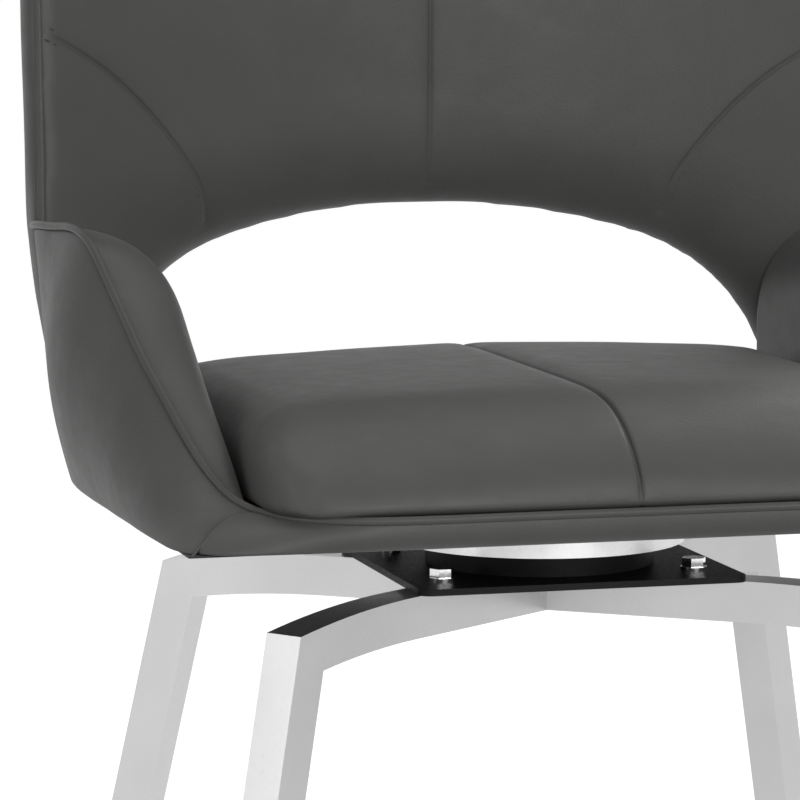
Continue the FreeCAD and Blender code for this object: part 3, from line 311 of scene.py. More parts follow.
def swell(piece, pinned, pressure, limit):
    """Blow a sewn cover up from inside with a short cloth run and keep each move under a limit."""
    start = points_of(piece)
    group = piece.vertex_groups.new(name="sewn")
    for level in np.arange(PIN_STEP, 1 + PIN_STEP, PIN_STEP).tolist():
        chosen = np.flatnonzero((pinned > level - PIN_STEP) & (pinned <= level))
        if len(chosen):
            group.add(chosen.tolist(), level, "REPLACE")
    cloth = piece.modifiers.new("cover", "CLOTH")
    settings = cloth.settings
    settings.quality = 5
    settings.mass = 0.25
    settings.tension_stiffness = settings.compression_stiffness = 25
    settings.shear_stiffness = 12
    settings.bending_stiffness = 1.5
    settings.vertex_group_mass = "sewn"
    settings.use_pressure = True
    settings.uniform_pressure_force = pressure
    settings.effector_weights.gravity = 0
    cloth.collision_settings.use_collision = False
    for number in range(1, CLOTH_FRAMES + 1):
        scene.frame_set(number)
    shaped = piece.evaluated_get(bpy.context.evaluated_depsgraph_get())
    move = points_of(shaped) - start
    length = np.linalg.norm(move, axis=1, keepdims=True)
    move *= np.minimum(1, limit / np.maximum(length, 1e-9))
    piece.modifiers.remove(cloth)
    piece.vertex_groups.remove(group)
    scene.frame_set(1)
    move_points(piece, start + evened(piece, move, **EVENING) * (1 - pinned)[:, None])


def refine(piece):
    """Subdivide a piece smoothly once and keep the result."""
    divide = piece.modifiers.new("finer", "SUBSURF")
    divide.levels = divide.render_levels = 1
    shaped = piece.evaluated_get(bpy.context.evaluated_depsgraph_get())
    mesh = bpy.data.meshes.new_from_object(shaped)
    piece.modifiers.remove(divide)
    old = piece.data
    piece.data = mesh
    bpy.data.meshes.remove(old)
    mesh.name = piece.name
    mesh.shade_smooth()


def finer(piece, near):
    """Halve the edges between the chosen points of a piece."""
    work = bmesh.new()
    work.from_mesh(piece.data)
    work.verts.ensure_lookup_table()
    chosen = [edge for edge in work.edges if all(near[vert.index] for vert in edge.verts)]
    bmesh.ops.subdivide_edges(work, edges=chosen, cuts=1, use_grid_fill=True)
    work.to_mesh(piece.data)
    work.free()
    piece.data.update()
    piece.data.shade_smooth()


# Seams
FINER_REACHES = (7, 3.5)    # a mesh is made finer twice around a seam
SEAM_RISE_REACH = 12        # where the cover stands highest beside a seam


def sewn(points, paths, reach):
    """How firmly points near seams are held, from 1 on a seam to 0 at a reach."""
    held = np.zeros(len(points))
    for path in paths:
        held = np.maximum(held, np.clip(1 - line_distance(points, path) / reach, 0, 1))
    return held


def seam_shift(d, depth, width, rise):
    """Move of the cover at a distance from a seam: a groove with a low swell beside it."""
    far = d / SEAM_RISE_REACH
    return rise * far * np.exp(1 - far) - depth * np.exp(-(d / width) ** 2)


# Sewn trim
DOME = ((0.0, 0.99), (0.45, 0.85), (0.85, 0.4))    # reach and size of a dome's rings, in radii


def tube(name, path, radius, material, sides):
    """Round cord along a path, its ends closed by small domes."""
    path = np.asarray(path, float)
    along = np.gradient(path, axis=0)
    along /= np.linalg.norm(along, axis=1, keepdims=True)
    up = np.zeros_like(along)
    guide = np.array([0, 0, 1.0]) if abs(along[0][2]) < 0.9 else np.array([1.0, 0, 0])
    for i, way in enumerate(along):
        guide = guide - way * (guide @ way)
        guide /= np.linalg.norm(guide)
        up[i] = guide
    across = np.cross(along, up)
    turn = np.linspace(0, 2 * np.pi, sides, endpoint=False)

    def ring(i, out=0.0, size=1.0):
        round_way = np.cos(turn)[:, None] * up[i] + np.sin(turn)[:, None] * across[i]
        return path[i] + along[i] * radius * out + radius * size * round_way

    rings = [ring(0, -out, size) for out, size in reversed(DOME)]
    rings += [ring(i) for i in range(1, len(path) - 1)]
    rings += [ring(-1, out, size) for out, size in DOME]
    faces = []
    for i in range(len(rings) - 1):
        a, b = i * sides, (i + 1) * sides
        for j in range(sides):
            k = (j + 1) % sides
            faces.append((a + j, a + k, b + k, b + j))
    faces.append(tuple(range(sides))[::-1])
    faces.append(tuple(range((len(rings) - 1) * sides, len(rings) * sides)))
    return new_piece(name, np.concatenate(rings), faces, material)


# Materials
NOISE, CELLS = "ShaderNodeTexNoise", "ShaderNodeTexVoronoi"


def new_material(name):
    material = bpy.data.materials.new(name)
    material.use_nodes = True
    shader = material.node_tree.nodes["Principled BSDF"]
    return material, material.node_tree, shader


def texture(tree, kind, scale, stretch=(1, 1, 1), turn=0.0, **options):
    """Procedural texture in the frame's own coordinates."""
    coordinates = tree.nodes.new("ShaderNodeTexCoord")
    mapping = tree.nodes.new("ShaderNodeMapping")
    mapping.inputs["Scale"].default_value = stretch
    mapping.inputs["Rotation"].default_value = (0, 0, turn)
    node = tree.nodes.new(kind)
    node.inputs["Scale"].default_value = scale
    for key, amount in options.items():
        if key in node.inputs:
            node.inputs[key].default_value = amount
        else:
            setattr(node, key, amount)
    tree.links.new(coordinates.outputs["Object"], mapping.inputs["Vector"])
    tree.links.new(mapping.outputs["Vector"], node.inputs["Vector"])
    return node.outputs[0]


def ramp(tree, source, stops, target):
    """Colour or level from a texture; stops give position and grey level or colour."""
    node = tree.nodes.new("ShaderNodeValToRGB")
    for element, (position, tone) in zip(node.color_ramp.elements, stops):
        element.position = position
        element.color = (*tone, 1) if isinstance(tone, tuple) else (tone, tone, tone, 1)
    tree.links.new(source, node.inputs["Fac"])
    tree.links.new(node.outputs["Color"], target)


def bump(tree, shader, layers):
    """Stack of bump layers: source, strength, distance in metres."""
    before = None
    for source, strength, distance in layers:
        node = tree.nodes.new("ShaderNodeBump")
        node.inputs["Strength"].default_value = strength
        node.inputs["Distance"].default_value = distance
        tree.links.new(source, node.inputs["Height"])
        if before:
            tree.links.new(before, node.inputs["Normal"])
        before = node.outputs["Normal"]
    tree.links.new(before, shader.inputs["Normal"])


def leather(name, dark, light, rough):
    """Fine-grained faux leather."""
    material, tree, shader = new_material(name)
    patch = texture(tree, NOISE, scale=9, Detail=4, Roughness=0.6)
    ramp(tree, patch, [(0.3, dark), (0.7, light)], shader.inputs["Base Color"])
    worn = texture(tree, NOISE, scale=60, Detail=5, Roughness=0.65)
    ramp(tree, worn, [(0.25, rough - 0.05), (0.75, rough + 0.06)], shader.inputs["Roughness"])
    pebble = texture(tree, CELLS, scale=620, feature="F1", Randomness=1.0)
    pores = texture(tree, NOISE, scale=1500, Detail=3, Roughness=0.6)
    creases = texture(tree, NOISE, scale=45, Detail=6, Roughness=0.6, Distortion=0.6)
    bump(tree, shader, [(creases, 0.12, 0.002), (pebble, 0.22, 0.0004), (pores, 0.12, 0.0003)])
    shader.inputs["Specular IOR Level"].default_value = 0.2
    shader.inputs["Sheen Weight"].default_value = 0.04
    shader.inputs["Sheen Roughness"].default_value = 0.4
    return material


def steel(name, tone, rough, turn, stretch):
    """Brushed stainless steel with streaks along one direction."""
    material, tree, shader = new_material(name)
    streak = texture(tree, NOISE, 90, stretch, math.radians(turn), Detail=4, Roughness=0.6)
    cloud = texture(tree, NOISE, scale=14, Detail=3)
    ramp(tree, cloud, [(0.3, tone * 0.93), (0.7, tone)], shader.inputs["Base Color"])
    ramp(tree, streak, [(0.3, rough - 0.03), (0.7, rough + 0.04)], shader.inputs["Roughness"])
    bump(tree, shader, [(streak, 0.03, 0.0001), (cloud, 0.03, 0.001)])
    shader.inputs["Metallic"].default_value = 1.0
    return material


def coated(name, tone, rough, grain, depth, metallic=0.0, shine=0.5):
    """Painted, plated or moulded finish with a fine surface texture."""
    material, tree, shader = new_material(name)
    cloud = texture(tree, NOISE, scale=30, Detail=4)
    ramp(tree, cloud, [(0.3, tone * 0.85), (0.7, tone * 1.1)], shader.inputs["Base Color"])
    fine = texture(tree, NOISE, scale=grain, Detail=3)
    ramp(tree, fine, [(0.3, rough * 0.85), (0.7, rough * 1.15)], shader.inputs["Roughness"])
    bump(tree, shader, [(fine, 0.2, depth)])
    shader.inputs["Metallic"].default_value = metallic
    shader.inputs["Specular IOR Level"].default_value = shine
    return material


def plywood(name, dark, light):
    """Pale birch face with long grain."""
    material, tree, shader = new_material(name)
    grain = texture(tree, NOISE, scale=30, stretch=(0.6, 14, 4), Detail=6, Roughness=0.6)
    ramp(tree, grain, [(0.3, dark), (0.7, light)], shader.inputs["Base Color"])
    bump(tree, shader, [(grain, 0.15, 0.0006)])
    shader.inputs["Roughness"].default_value = 0.6
    return material


LEATHER = leather("grey_leather", (0.068, 0.068, 0.066), (0.082, 0.082, 0.08), rough=0.5)
PIPING = leather("piping_leather", (0.06, 0.06, 0.058), (0.074, 0.074, 0.072), rough=0.46)
THREAD = coated("stitch_thread", tone=0.03, rough=0.7, grain=2500, depth=0.0003)
# Black enamel of the base plate; on the lower race the same black is painted shade for the gap under
# the swivel pan
BLACK_ENAMEL_AND_SHADE = coated("black_enamel_and_painted_shade", tone=0.007, rough=0.5, grain=400, depth=0.0003, shine=0.12)
PLATED = coated("bright_plating", tone=0.62, rough=0.22, grain=500, depth=0.0001, metallic=1.0)
BOLT = coated("bright_bolt", tone=0.68, rough=0.14, grain=700, depth=0.0001, metallic=1.0)
BEARING = coated("bearing_steel", tone=0.55, rough=0.2, grain=600, depth=0.0001, metallic=1.0)
TUBE_STEEL = coated("frame_tube_paint", tone=0.03, rough=0.45, grain=500, depth=0.0002)
PLASTIC = coated("black_plastic", tone=0.022, rough=0.5, grain=900, depth=0.0003)
CAGE = coated("cage_plastic", tone=0.35, rough=0.45, grain=900, depth=0.0002)
COVER = coated("dust_cloth", tone=0.016, rough=0.85, grain=1400, depth=0.0006)
WOOD = plywood("birch_plywood", (0.42, 0.29, 0.17), (0.6, 0.45, 0.29))

# Streaks run along the legs and along the bars, which lie in two crossing directions
STEEL = dict(tone=0.5, rough=0.3)
BAR_TURN = 37
LEG_STEEL = steel("brushed_leg_steel", turn=0, stretch=(9, 9, 0.1), **STEEL)
BAR_STEEL_A = steel("brushed_bar_steel_a", turn=-BAR_TURN, stretch=(0.1, 9, 9), **STEEL)
BAR_STEEL_B = steel("brushed_bar_steel_b", turn=BAR_TURN, stretch=(0.1, 9, 9), **STEEL)

NODE_LOOKS = {
    "swivel_base_plate": BLACK_ENAMEL_AND_SHADE, "base_bolts": BOLT, "base_washers": BOLT, "weld_nuts": BEARING,
    # The lower race is black as painted shade: it stands in for the shade in the gap under the swivel
    # pan
    "lower_race": BLACK_ENAMEL_AND_SHADE, "upper_race": BEARING, "bearing_balls": BOLT, "ball_cage": CAGE,
    "pivot_stud": BEARING, "pivot_washer": BEARING, "pivot_nut": BEARING, "swivel_pan": PLATED,
    "pan_screws": BEARING, "seat_board": WOOD, "dust_cover": COVER, "back_post_left": TUBE_STEEL,
    "back_post_right": TUBE_STEEL, "back_rail_upper": TUBE_STEEL, "back_rail_lower": TUBE_STEEL,
    "frame_bolts": BEARING, "tee_nuts": BEARING,
}
for corner, bar_steel in (("front_left", BAR_STEEL_A), ("rear_right", BAR_STEEL_A),
                          ("front_right", BAR_STEEL_B), ("rear_left", BAR_STEEL_B)):
    NODE_LOOKS["leg_" + corner] = LEG_STEEL
    NODE_LOOKS["bar_" + corner] = bar_steel
    NODE_LOOKS["foot_glide_" + corner] = PLASTIC
for node, material in NODE_LOOKS.items():
    slots = nodes[node].data.materials
    slots.clear()
    slots.append(material)
    if node.startswith(("leg_", "bar_", "foot_glide_")):
        edge = nodes[node].modifiers.new("soft_edges", "BEVEL")
        edge.width = 0.0013
        edge.segments = 2
        edge.limit_method = "ANGLE"
        edge.angle_limit = math.radians(40)
        edge.harden_normals = False

# Sections of the right arm from the back to the mitre at the front corner: rim, where the piping
# runs; lower edge; rear reach and height of the shoulder on the inner wall; swell of the outer side
ARM_ROWS = [
    (279, 178, 559, 244, 186, 202, 482, 5),
    (281.5, 154.5, 561, 257.5, 158, 180, 485, 5),
    (281.5, 138, 562, 263, 140, 156, 492, 6.5),
    (279, 112, 563, 267, 112, 120, 498, 11),
    (275, 68, 565, 268.5, 68, 70, 497, 18),
    (271, 37, 558, 268.5, 38, 38, 490, 18),
    (266, 11, 539, 268, 11, 11, 478, 16),
    (261, -16, 518, 268, -16, -16, 466, 14),
    (256, -43, 497, 267.5, -43, -43, 455, 12),
    (249, -70, 476, 267.5, -72, -70, 444, 9.5),
    (241, -98, 453, 267, -104, -97, 434, 7.2),
    (231, -118, 434, 266, -135, -112, 425, 5.3),
    (222, -128, 424, 264, -158, -122, 419, 4.5),
    (212, -140, 418.5, 257, -178, -134, 415, 4),
]
RIM_SIDE = [row[:3] for row in ARM_ROWS]
INNER = 213.5                # inner wall of the arms
ARM_STEPS = 84
OUTER_COUNT, TOP_COUNT, WALL_COUNT, SOLE_COUNT = 30, 24, 14, 10
TOP_SWELL = 0.24             # share of the top's width
ARM_SEAM_REACH = 10
ARM_PRESSURE, ARM_LIMIT = 3.0, 5
CORNER_SEAM_R = 0.9


def arm_rings(steps):
    """Cross sections of the right arm pad from the back to the mitre at the front corner."""
    rows = smooth_path(ARM_ROWS, steps)
    rim, foot = rows[:, :3], at_height(rows[:, 3:5], BOTTOM)
    shoulder = np.column_stack([np.full(steps, INNER), rows[:, 5], rows[:, 6]])
    corner = at_height(shoulder[:, :2], BOTTOM)
    wide = np.linalg.norm(rim - shoulder, axis=1)
    strips = [
        swollen(foot, rim, rows[:, 7], side_normal(foot, rim), OUTER_COUNT),
        swollen(rim, shoulder, TOP_SWELL * wide, side_normal(rim, shoulder), TOP_COUNT),
        straight(shoulder, corner, WALL_COUNT),
        straight(corner, foot, SOLE_COUNT),
    ]
    return np.concatenate([strip[:, :-1] for strip in strips], axis=1)


rim_side = smooth_path(RIM_SIDE, 90)
right_rings = arm_rings(ARM_STEPS)
for name, side in SIDES.items():
    rings = right_rings * (side, 1, 1)
    points, faces = lofted(rings)
    piece = new_piece(f"arm_cover_{name}", points, faces, LEATHER)
    held = sewn(points, [rim_side * (side, 1, 1)], ARM_SEAM_REACH)
    held[points[:, 2] < BOTTOM + 6] = 1
    held[np.abs(points[:, 0]) < INNER + 3] = 1
    swell(piece, held, ARM_PRESSURE, ARM_LIMIT)
    refine(piece)
    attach(piece, "seat")
    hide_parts(f"arm_pad_{name}")

    corner = rings[-1][:OUTER_COUNT - 1]
    seam = tube(f"corner_seam_{name}", corner, CORNER_SEAM_R, PIPING, sides=8)
    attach(seam, "seat")

# Front band, right half from the mitre to the middle: rim, lower edge and rear face
RIM_FRONT = [(212, -140, 418.5), (199, -171, 418), (176, -189, 418), (143, -197, 418),
             (80, -198, 418), (0, -198, 418)]
FOOT_FRONT = [(257, -178), (245, -186), (220, -190), (160, -190.5), (80, -190.5), (0, -190.5)]
REAR_FRONT = [(211, -133), (195, -158), (168, -173), (140, -177), (80, -177), (0, -177)]
BAND_REAR_TOP = 416.5
BAND_STEPS = 60
FACE_COUNT, EDGE_COUNT, REAR_COUNT = 12, 8, 5


def band_rings(steps):
    """Cross sections of the front band from one mitre round to the other."""
    rim = both_halves(smooth_path(RIM_FRONT, steps))
    foot = at_height(both_halves(smooth_path(FOOT_FRONT, steps)), BOTTOM)
    rear = both_halves(smooth_path(REAR_FRONT, steps))
    lower, upper = at_height(rear, BOTTOM), at_height(rear, BAND_REAR_TOP)
    bulge = 0.12 * np.linalg.norm(rim - foot, axis=1) + 1
    strips = [
        swollen(foot, rim, bulge, side_normal(foot, rim), FACE_COUNT),
        straight(rim, upper, EDGE_COUNT),
        straight(upper, lower, REAR_COUNT),
        straight(lower, foot, EDGE_COUNT),
    ]
    return np.concatenate([strip[:, :-1] for strip in strips], axis=1)


points, faces = lofted(band_rings(BAND_STEPS))
band = new_piece("front_band_cover", points, faces, LEATHER)
refine(band)
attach(band, "seat")
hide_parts("front_band")


# Seat cushion
def smooth_max(a, b, blend):
    """Larger of two fields with a rounded meeting."""
    near = np.maximum(blend - np.abs(a - b), 0) / blend
    return np.maximum(a, b) + near * near * blend / 4


NET_STEP = 5.5
BACK_CENTRE = -270.0                                    # middle of the back's curve, at the seat
SEAT_FRONT, SEAT_HALF, SEAT_CREST = -201.0, 212.5, 482.0
SEAT_REAR_R, FRONT_CORNER = 490.0, 48.0
REAR_CORNER, REAR_CORNER_R = (172.0, 140.0), 40.5
SEAT_BOX = (-213, -202, BOARD_TOP), (213, 222, 484)
SIDE_FALL = 6.0                                         # fall of the top to its sides
TAIL_FROM, TAIL_BEND = 120.0, 700.0                     # fall of the top to the back
NOSE_FROM, NOSE_BEND = -40.0, 9000.0                    # fall of the top to the front
ROLL_DEEP, ROLL_HIGH, ROLL_SCALE = 108.0, 64.0, 60.0    # rolled front edge
SIDE_DEEP, SIDE_HIGH, SIDE_SCALE = 30.0, 34.0, 30.0     # rounded side edges
SEAT_BLEND, SEAT_INSET = 8.0, 1.5
SEAT_PRESSURE, SEAT_LIMIT = 4.0, 3
SEAM_REACH = 12

rear_angle = math.degrees(math.acos(REAR_CORNER[0] / SEAT_REAR_R))
far_angle = math.degrees(math.acos(-REAR_CORNER[0] / SEAT_REAR_R))
front_x, front_y = SEAT_HALF - FRONT_CORNER, SEAT_FRONT + FRONT_CORNER
seat_plan = np.concatenate([
    arc((0, BACK_CENTRE), SEAT_REAR_R, rear_angle, far_angle, 40),
    arc((-REAR_CORNER[0], REAR_CORNER[1]), REAR_CORNER_R, 130, 180, 8),
    arc((-front_x, front_y), FRONT_CORNER, 180, 270, 16),
    arc((front_x, front_y), FRONT_CORNER, 270, 360, 16),
    arc(REAR_CORNER, REAR_CORNER_R, 0, 50, 8),
])
seat_edge = np.concatenate([seat_plan, seat_plan[:1]])


def seat_top(x, y):
    """Height of the crowned top of the cushion."""
    tail, nose = np.maximum(y - TAIL_FROM, 0), np.maximum(NOSE_FROM - y, 0)
    crown = SEAT_CREST - SIDE_FALL * (x / SEAT_HALF) ** 2
    return crown - tail ** 2 / TAIL_BEND - nose ** 2 / NOSE_BEND


def seat_field(p):
    """Below 0 inside the cushion."""
    x, y, z = p.T
    plan = p[:, :2]
    d = line_distance(plan, seat_edge) * np.where(inside_polygon(plan, seat_plan), 1, -1)
    up = z - seat_top(x, y)
    front = y - SEAT_FRONT
    roll = np.hypot(np.maximum(ROLL_DEEP - front, 0) / ROLL_DEEP,
                    np.maximum(up + ROLL_HIGH, 0) / ROLL_HIGH)
    side = np.hypot(np.maximum(SIDE_DEEP - d, 0) / SIDE_DEEP,
                    np.maximum(up + SIDE_HIGH, 0) / SIDE_HIGH)
    body = smooth_max((roll - 1) * ROLL_SCALE, (side - 1) * SIDE_SCALE, SEAT_BLEND)
    return np.maximum(body, BOARD_TOP - z)


seat_seam = np.column_stack([np.zeros(60), np.linspace(-197, 150, 60)])
points, faces = surface_net(lambda p: seat_field(p) + SEAT_INSET, *SEAT_BOX, NET_STEP)
seat = new_piece("seat_cover", points, faces, LEATHER)
held = sewn(points[:, :2], [seat_seam], SEAM_REACH)
held[points[:, 2] < BOARD_TOP + 9] = 1
swell(seat, held, SEAT_PRESSURE, SEAT_LIMIT)
relax(seat, 1, 0.3)
refine(seat)
for reach in FINER_REACHES:
    finer(seat, np.abs(points_of(seat)[:, 0]) < reach)
points = points_of(seat)
above = np.clip((points[:, 2] - BOARD_TOP) / 20, 0, 1)[:, None]
shift = seam_shift(np.abs(points[:, 0]), depth=2.6, width=1.3, rise=1.4)
move_points(seat, points + normals_of(seat) * shift[:, None] * above)
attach(seat, "seat")
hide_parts("seat_cushion")

# Backrest, which leans back on a curve about an upright axis
RECLINE, RECLINE_FROM = math.tan(math.radians(5)), 418.0
BACK_R, BACK_THICK = 500.0, 46.0
BACK_HALF, BACK_TOP, BACK_CORNER = 284.0, 870.0, 80.0
BACK_BOX = (-286, 145, BOTTOM), (286, 330, BACK_TOP)
WAIST, TUCK = 600.0, 36.0                                         # sides draw in below the waist
ARCH_TOP, ARCH_R, ARCH_HALF, ARCH_CORNER = 560.8, 525.0, 142.0, 115.0
ARCH_FOOT = BOTTOM - 12
BELOW = 300                                                       # outlines close below the pads
LUMBAR, LUMBAR_Z, LUMBAR_HIGH, LUMBAR_HALF = 12.0, 735.0, 95.0, 290.0
LIP = 34.0                                                        # depth of the opening's edge
ROLL_LEAST, ROLL_MORE, ROLL_FROM, ROLL_OVER = 24.0, 46.0, 455.0, 90.0
REAR_ROLL = 16.0
SIDE_ROUND, WAIST_ROUND, WAIST_OVER, SIDE_MIDDLE = 9.0, 6.0, 40.0, 24.0
BACK_BLEND, BACK_INSET = 9.0, 1.2
BACK_PRESSURE, BACK_LIMIT = 4.0, 1.5


def back_axis(z):
    """Rear reach of the axis that the back curves about."""
    return RECLINE * (z - RECLINE_FROM) + BACK_CENTRE


def opening_outline():
    """The opening from its lower left end over the crown to its lower right end."""
    tilt = math.degrees(math.asin(ARCH_HALF / ARCH_R))
    crown = arc((0, ARCH_TOP - ARCH_R), ARCH_R, 90 + tilt, 90 - tilt, 31)
    end = crown[-1]
    way = np.array([math.sin(math.radians(tilt)), math.cos(math.radians(tilt))])
    corner = arc(end - way * ARCH_CORNER, ARCH_CORNER, 90 - tilt, 0, 20)
    right = np.concatenate([crown[16:], corner[1:], [[corner[-1][0], ARCH_FOOT]]])
    return np.concatenate([flipped(right)[::-1], crown[15:16], right])


opening = opening_outline()
opening_closed = np.concatenate([opening, [[opening[-1][0], BELOW], [opening[0][0], BELOW]]])
tuck_radius = ((WAIST - BOTTOM) ** 2 + TUCK ** 2) / (2 * TUCK)
tuck_turn = math.degrees(math.asin((WAIST - BOTTOM) / tuck_radius))
tuck_side = arc((BACK_HALF - tuck_radius, WAIST), tuck_radius, -tuck_turn, 0, 20)
corner_x, corner_z = BACK_HALF - BACK_CORNER, BACK_TOP - BACK_CORNER
back_outline = np.concatenate([
    [[BACK_HALF - TUCK, BELOW]],
    tuck_side,
    arc((corner_x, corner_z), BACK_CORNER, 0, 90, 16),
    arc((-corner_x, corner_z), BACK_CORNER, 90, 180, 16),
    flipped(tuck_side)[::-1],
    [[TUCK - BACK_HALF, BELOW]],
])


def back_crown(x, z):
    """How far the front stands forward of its plain curve: a lumbar swell that dies to the edges."""
    lumbar = LUMBAR * np.exp(-((z - LUMBAR_Z) / LUMBAR_HIGH) ** 2)
    return lumbar * np.clip(1 - (x / LUMBAR_HALF) ** 2, 0, 1)


def back_field(p):
    """Below 0 inside the backrest."""
    x, y, z = p.T
    face = p[:, [0, 2]]
    w = np.hypot(x, y - back_axis(z)) - BACK_R
    d_open = line_distance(face, opening) * np.where(inside_polygon(face, opening_closed), -1, 1)
    d_out = line_distance(face, back_outline) * np.where(inside_polygon(face, back_outline), 1, -1)
    front = w + back_crown(x, z) - LIP
    roll = ROLL_LEAST + ROLL_MORE * np.clip((z - ROLL_FROM) / ROLL_OVER, 0, 1)
    ahead = np.hypot(np.maximum(roll - d_open, 0) / roll, np.minimum(front, 0) / LIP)
    rest = BACK_THICK - LIP
    behind = np.hypot(np.maximum(REAR_ROLL - d_open, 0) / REAR_ROLL, np.maximum(w - LIP, 0) / rest)
    slab = np.where(front < 0, (ahead - 1) * LIP, (behind - 1) * rest)
    taper = SIDE_ROUND - WAIST_ROUND * np.clip((WAIST - z) / WAIST_OVER, 0, 1)
    side = taper * ((w - SIDE_MIDDLE) / SIDE_MIDDLE) ** 2 - d_out
    return np.maximum(smooth_max(slab, side, BACK_BLEND), BOTTOM - z)


def back_inset(p):
    return back_field(p) + BACK_INSET


def on_front(face):
    """Points on the plain front curve of the back, from side reach and height."""
    x, z = face.T
    y = back_axis(z) + np.sqrt((BACK_R - back_crown(x, z)) ** 2 - x ** 2)
    return np.column_stack([x, y, z])


# Seams of the back as side reach and height; the side seam is the right one
CENTRE_SEAM = [(0, 862), (0, 572)]
SIDE_SEAM = [(151, 552), (158, 575), (173, 599), (199, 630), (230, 657), (271, 681)]
EDGE_EVEN = 30.0    # reach of the even edge along the opening

points, faces = surface_net(back_inset, *BACK_BOX, NET_STEP)
back = new_piece("back_cover", points, faces, LEATHER)
seams = [settle(on_front(even_path(CENTRE_SEAM, 80)), back_field, 6)]
for side in SIDES.values():
    line = smooth_path([(side * x, z) for x, z in SIDE_SEAM], 60)
    seams.append(settle(on_front(line), back_field, 6))
held = sewn(points, seams, SEAM_REACH)
held[points[:, 2] < BOTTOM + 8] = 1
swell(back, held, BACK_PRESSURE, BACK_LIMIT)
relax(back, 3, 0.5)
points = points_of(back)
edge_share = np.clip(1.5 - line_distance(points[:, [0, 2]], opening) / EDGE_EVEN, 0, 1)[:, None]
move_points(back, points + (settle(points, back_inset, 4) - points) * edge_share)
refine(back)
for path in seams:
    for reach in FINER_REACHES:
        finer(back, line_distance(points_of(back), path) < reach)
    points = points_of(back)
    shift = seam_shift(line_distance(points, path), depth=2.2, width=1.2, rise=1.3)
    move_points(back, points + normals_of(back) * shift[:, None])
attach(back, "seat")
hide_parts("backrest")

# Rear band behind the cushion
REAR_BAND_R, REAR_BAND_HALF, REAR_BAND_TOP = 490.3, 216.5, 452.0
REAR_HALF_THICK, REAR_BLEND, REAR_INSET, REAR_STEP = 9.0, 9.0, 0.3, 4.5
REAR_BOX = (-218, 158, BOTTOM), (218, 242, 453)


def rear_field(p):
    """Below 0 inside the rear band."""
    x, y, z = p.T
    w = np.hypot(x, y - BACK_CENTRE) - REAR_BAND_R
    slab = np.abs(w - REAR_HALF_THICK) - REAR_HALF_THICK
    ends = np.maximum(np.abs(x) - REAR_BAND_HALF, np.maximum(z - REAR_BAND_TOP, BOTTOM - z))
    return smooth_max(slab, ends, REAR_BLEND)


points, faces = surface_net(lambda p: rear_field(p) + REAR_INSET, *REAR_BOX, REAR_STEP)
rear = new_piece("rear_band_cover", points, faces, LEATHER)
refine(rear)
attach(rear, "seat")
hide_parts("rear_band")

# Piping along the rim and round the back's front edge
RIM_PIPING_R, RIM_PIPING_LIFT = 2.5, 0.8
BACK_PIPING_R, BACK_PIPING_INSET, BACK_PIPING_DEPTH = 2.7, 2.6, 2
EDGE_INSET, EDGE_FOOT = 8.0, 560.0

rim_half = np.concatenate([smooth_path(RIM_SIDE, 110), smooth_path(RIM_FRONT, 60)[1:]])
rim = both_halves(rim_half) + (0, 0, RIM_PIPING_LIFT)
rim_piping = tube("rim_piping", rim, RIM_PIPING_R, PIPING, sides=12)
edge_x = BACK_HALF - EDGE_INSET
edge_half = np.concatenate([
    even_path([(edge_x, EDGE_FOOT), (edge_x, corner_z)], 60),
    arc((corner_x, corner_z), BACK_CORNER - EDGE_INSET, 0, 90, 30)[1:],
])
edge_line = even_path(np.concatenate([edge_half, flipped(edge_half)[::-1]]), 300)
x, z = edge_line.T
edge = np.column_stack([x, back_axis(z) + np.sqrt((BACK_R + BACK_PIPING_DEPTH) ** 2 - x ** 2), z])
edge = settle(edge, lambda p: back_field(p) + BACK_PIPING_INSET, 6)
back_piping = tube("back_piping", edge, BACK_PIPING_R, PIPING, sides=12)
for piece in (rim_piping, back_piping):
    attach(piece, "seat")

# Stitches: two rows along each side seam; a stitch is five rings, then comes a gap
STITCH_LENGTH, STITCH_GAP, STITCH_R, STITCH_SIDES = 4.2, 1.6, 0.6, 6
STITCH_STEPS = 6
STITCH_LIFT = (-0.5, 0.55, 0.7, 0.55, -0.5)
STITCH_SIZE = (0.5, 0.95, 1.0, 0.95, 0.5)
ROW_OFFSET = 3.8


def back_normal(point):
    """Direction out of the backrest at a point."""
    slope = np.array([back_field((point + d)[None])[0] - back_field((point - d)[None])[0]
                      for d in np.eye(3)])
    return slope / np.linalg.norm(slope)


def stitches(name, path):
    """Row of short thread stitches along a path, each dipping at its ends."""
    count = max(2, int(runs(path)[-1] / (STITCH_LENGTH + STITCH_GAP)))
    line = even_path(path, count * STITCH_STEPS + 1)
    points, faces = [], []
    turn = np.linspace(0, 2 * np.pi, STITCH_SIDES, endpoint=False)
    rings = len(STITCH_LIFT)
    for i in range(count):
        spot = line[i * STITCH_STEPS:i * STITCH_STEPS + rings]
        along = spot[-1] - spot[0]
        along /= np.linalg.norm(along)
        up = back_normal(spot[2])
        up = up - along * (up @ along)
        up /= np.linalg.norm(up)
        across = np.cross(along, up)
        start = len(points)
        for centre, lift, size in zip(spot, STITCH_LIFT, STITCH_SIZE):
            middle = centre + up * lift * STITCH_R
            for a in turn:
                way = math.cos(a) * up + math.sin(a) * across
                points.append(middle + STITCH_R * size * way)
        for k in range(rings - 1):
            a, b = start + k * STITCH_SIDES, start + (k + 1) * STITCH_SIDES
            for j in range(STITCH_SIDES):
                n = (j + 1) % STITCH_SIDES
                faces.append((a + j, a + n, b + n, b + j))
        last = start + (rings - 1) * STITCH_SIDES
        faces.append(tuple(range(start, start + STITCH_SIDES))[::-1])
        faces.append(tuple(range(last, last + STITCH_SIDES)))
    piece = new_piece(name, np.array(points), faces, THREAD)
    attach(piece, "seat")


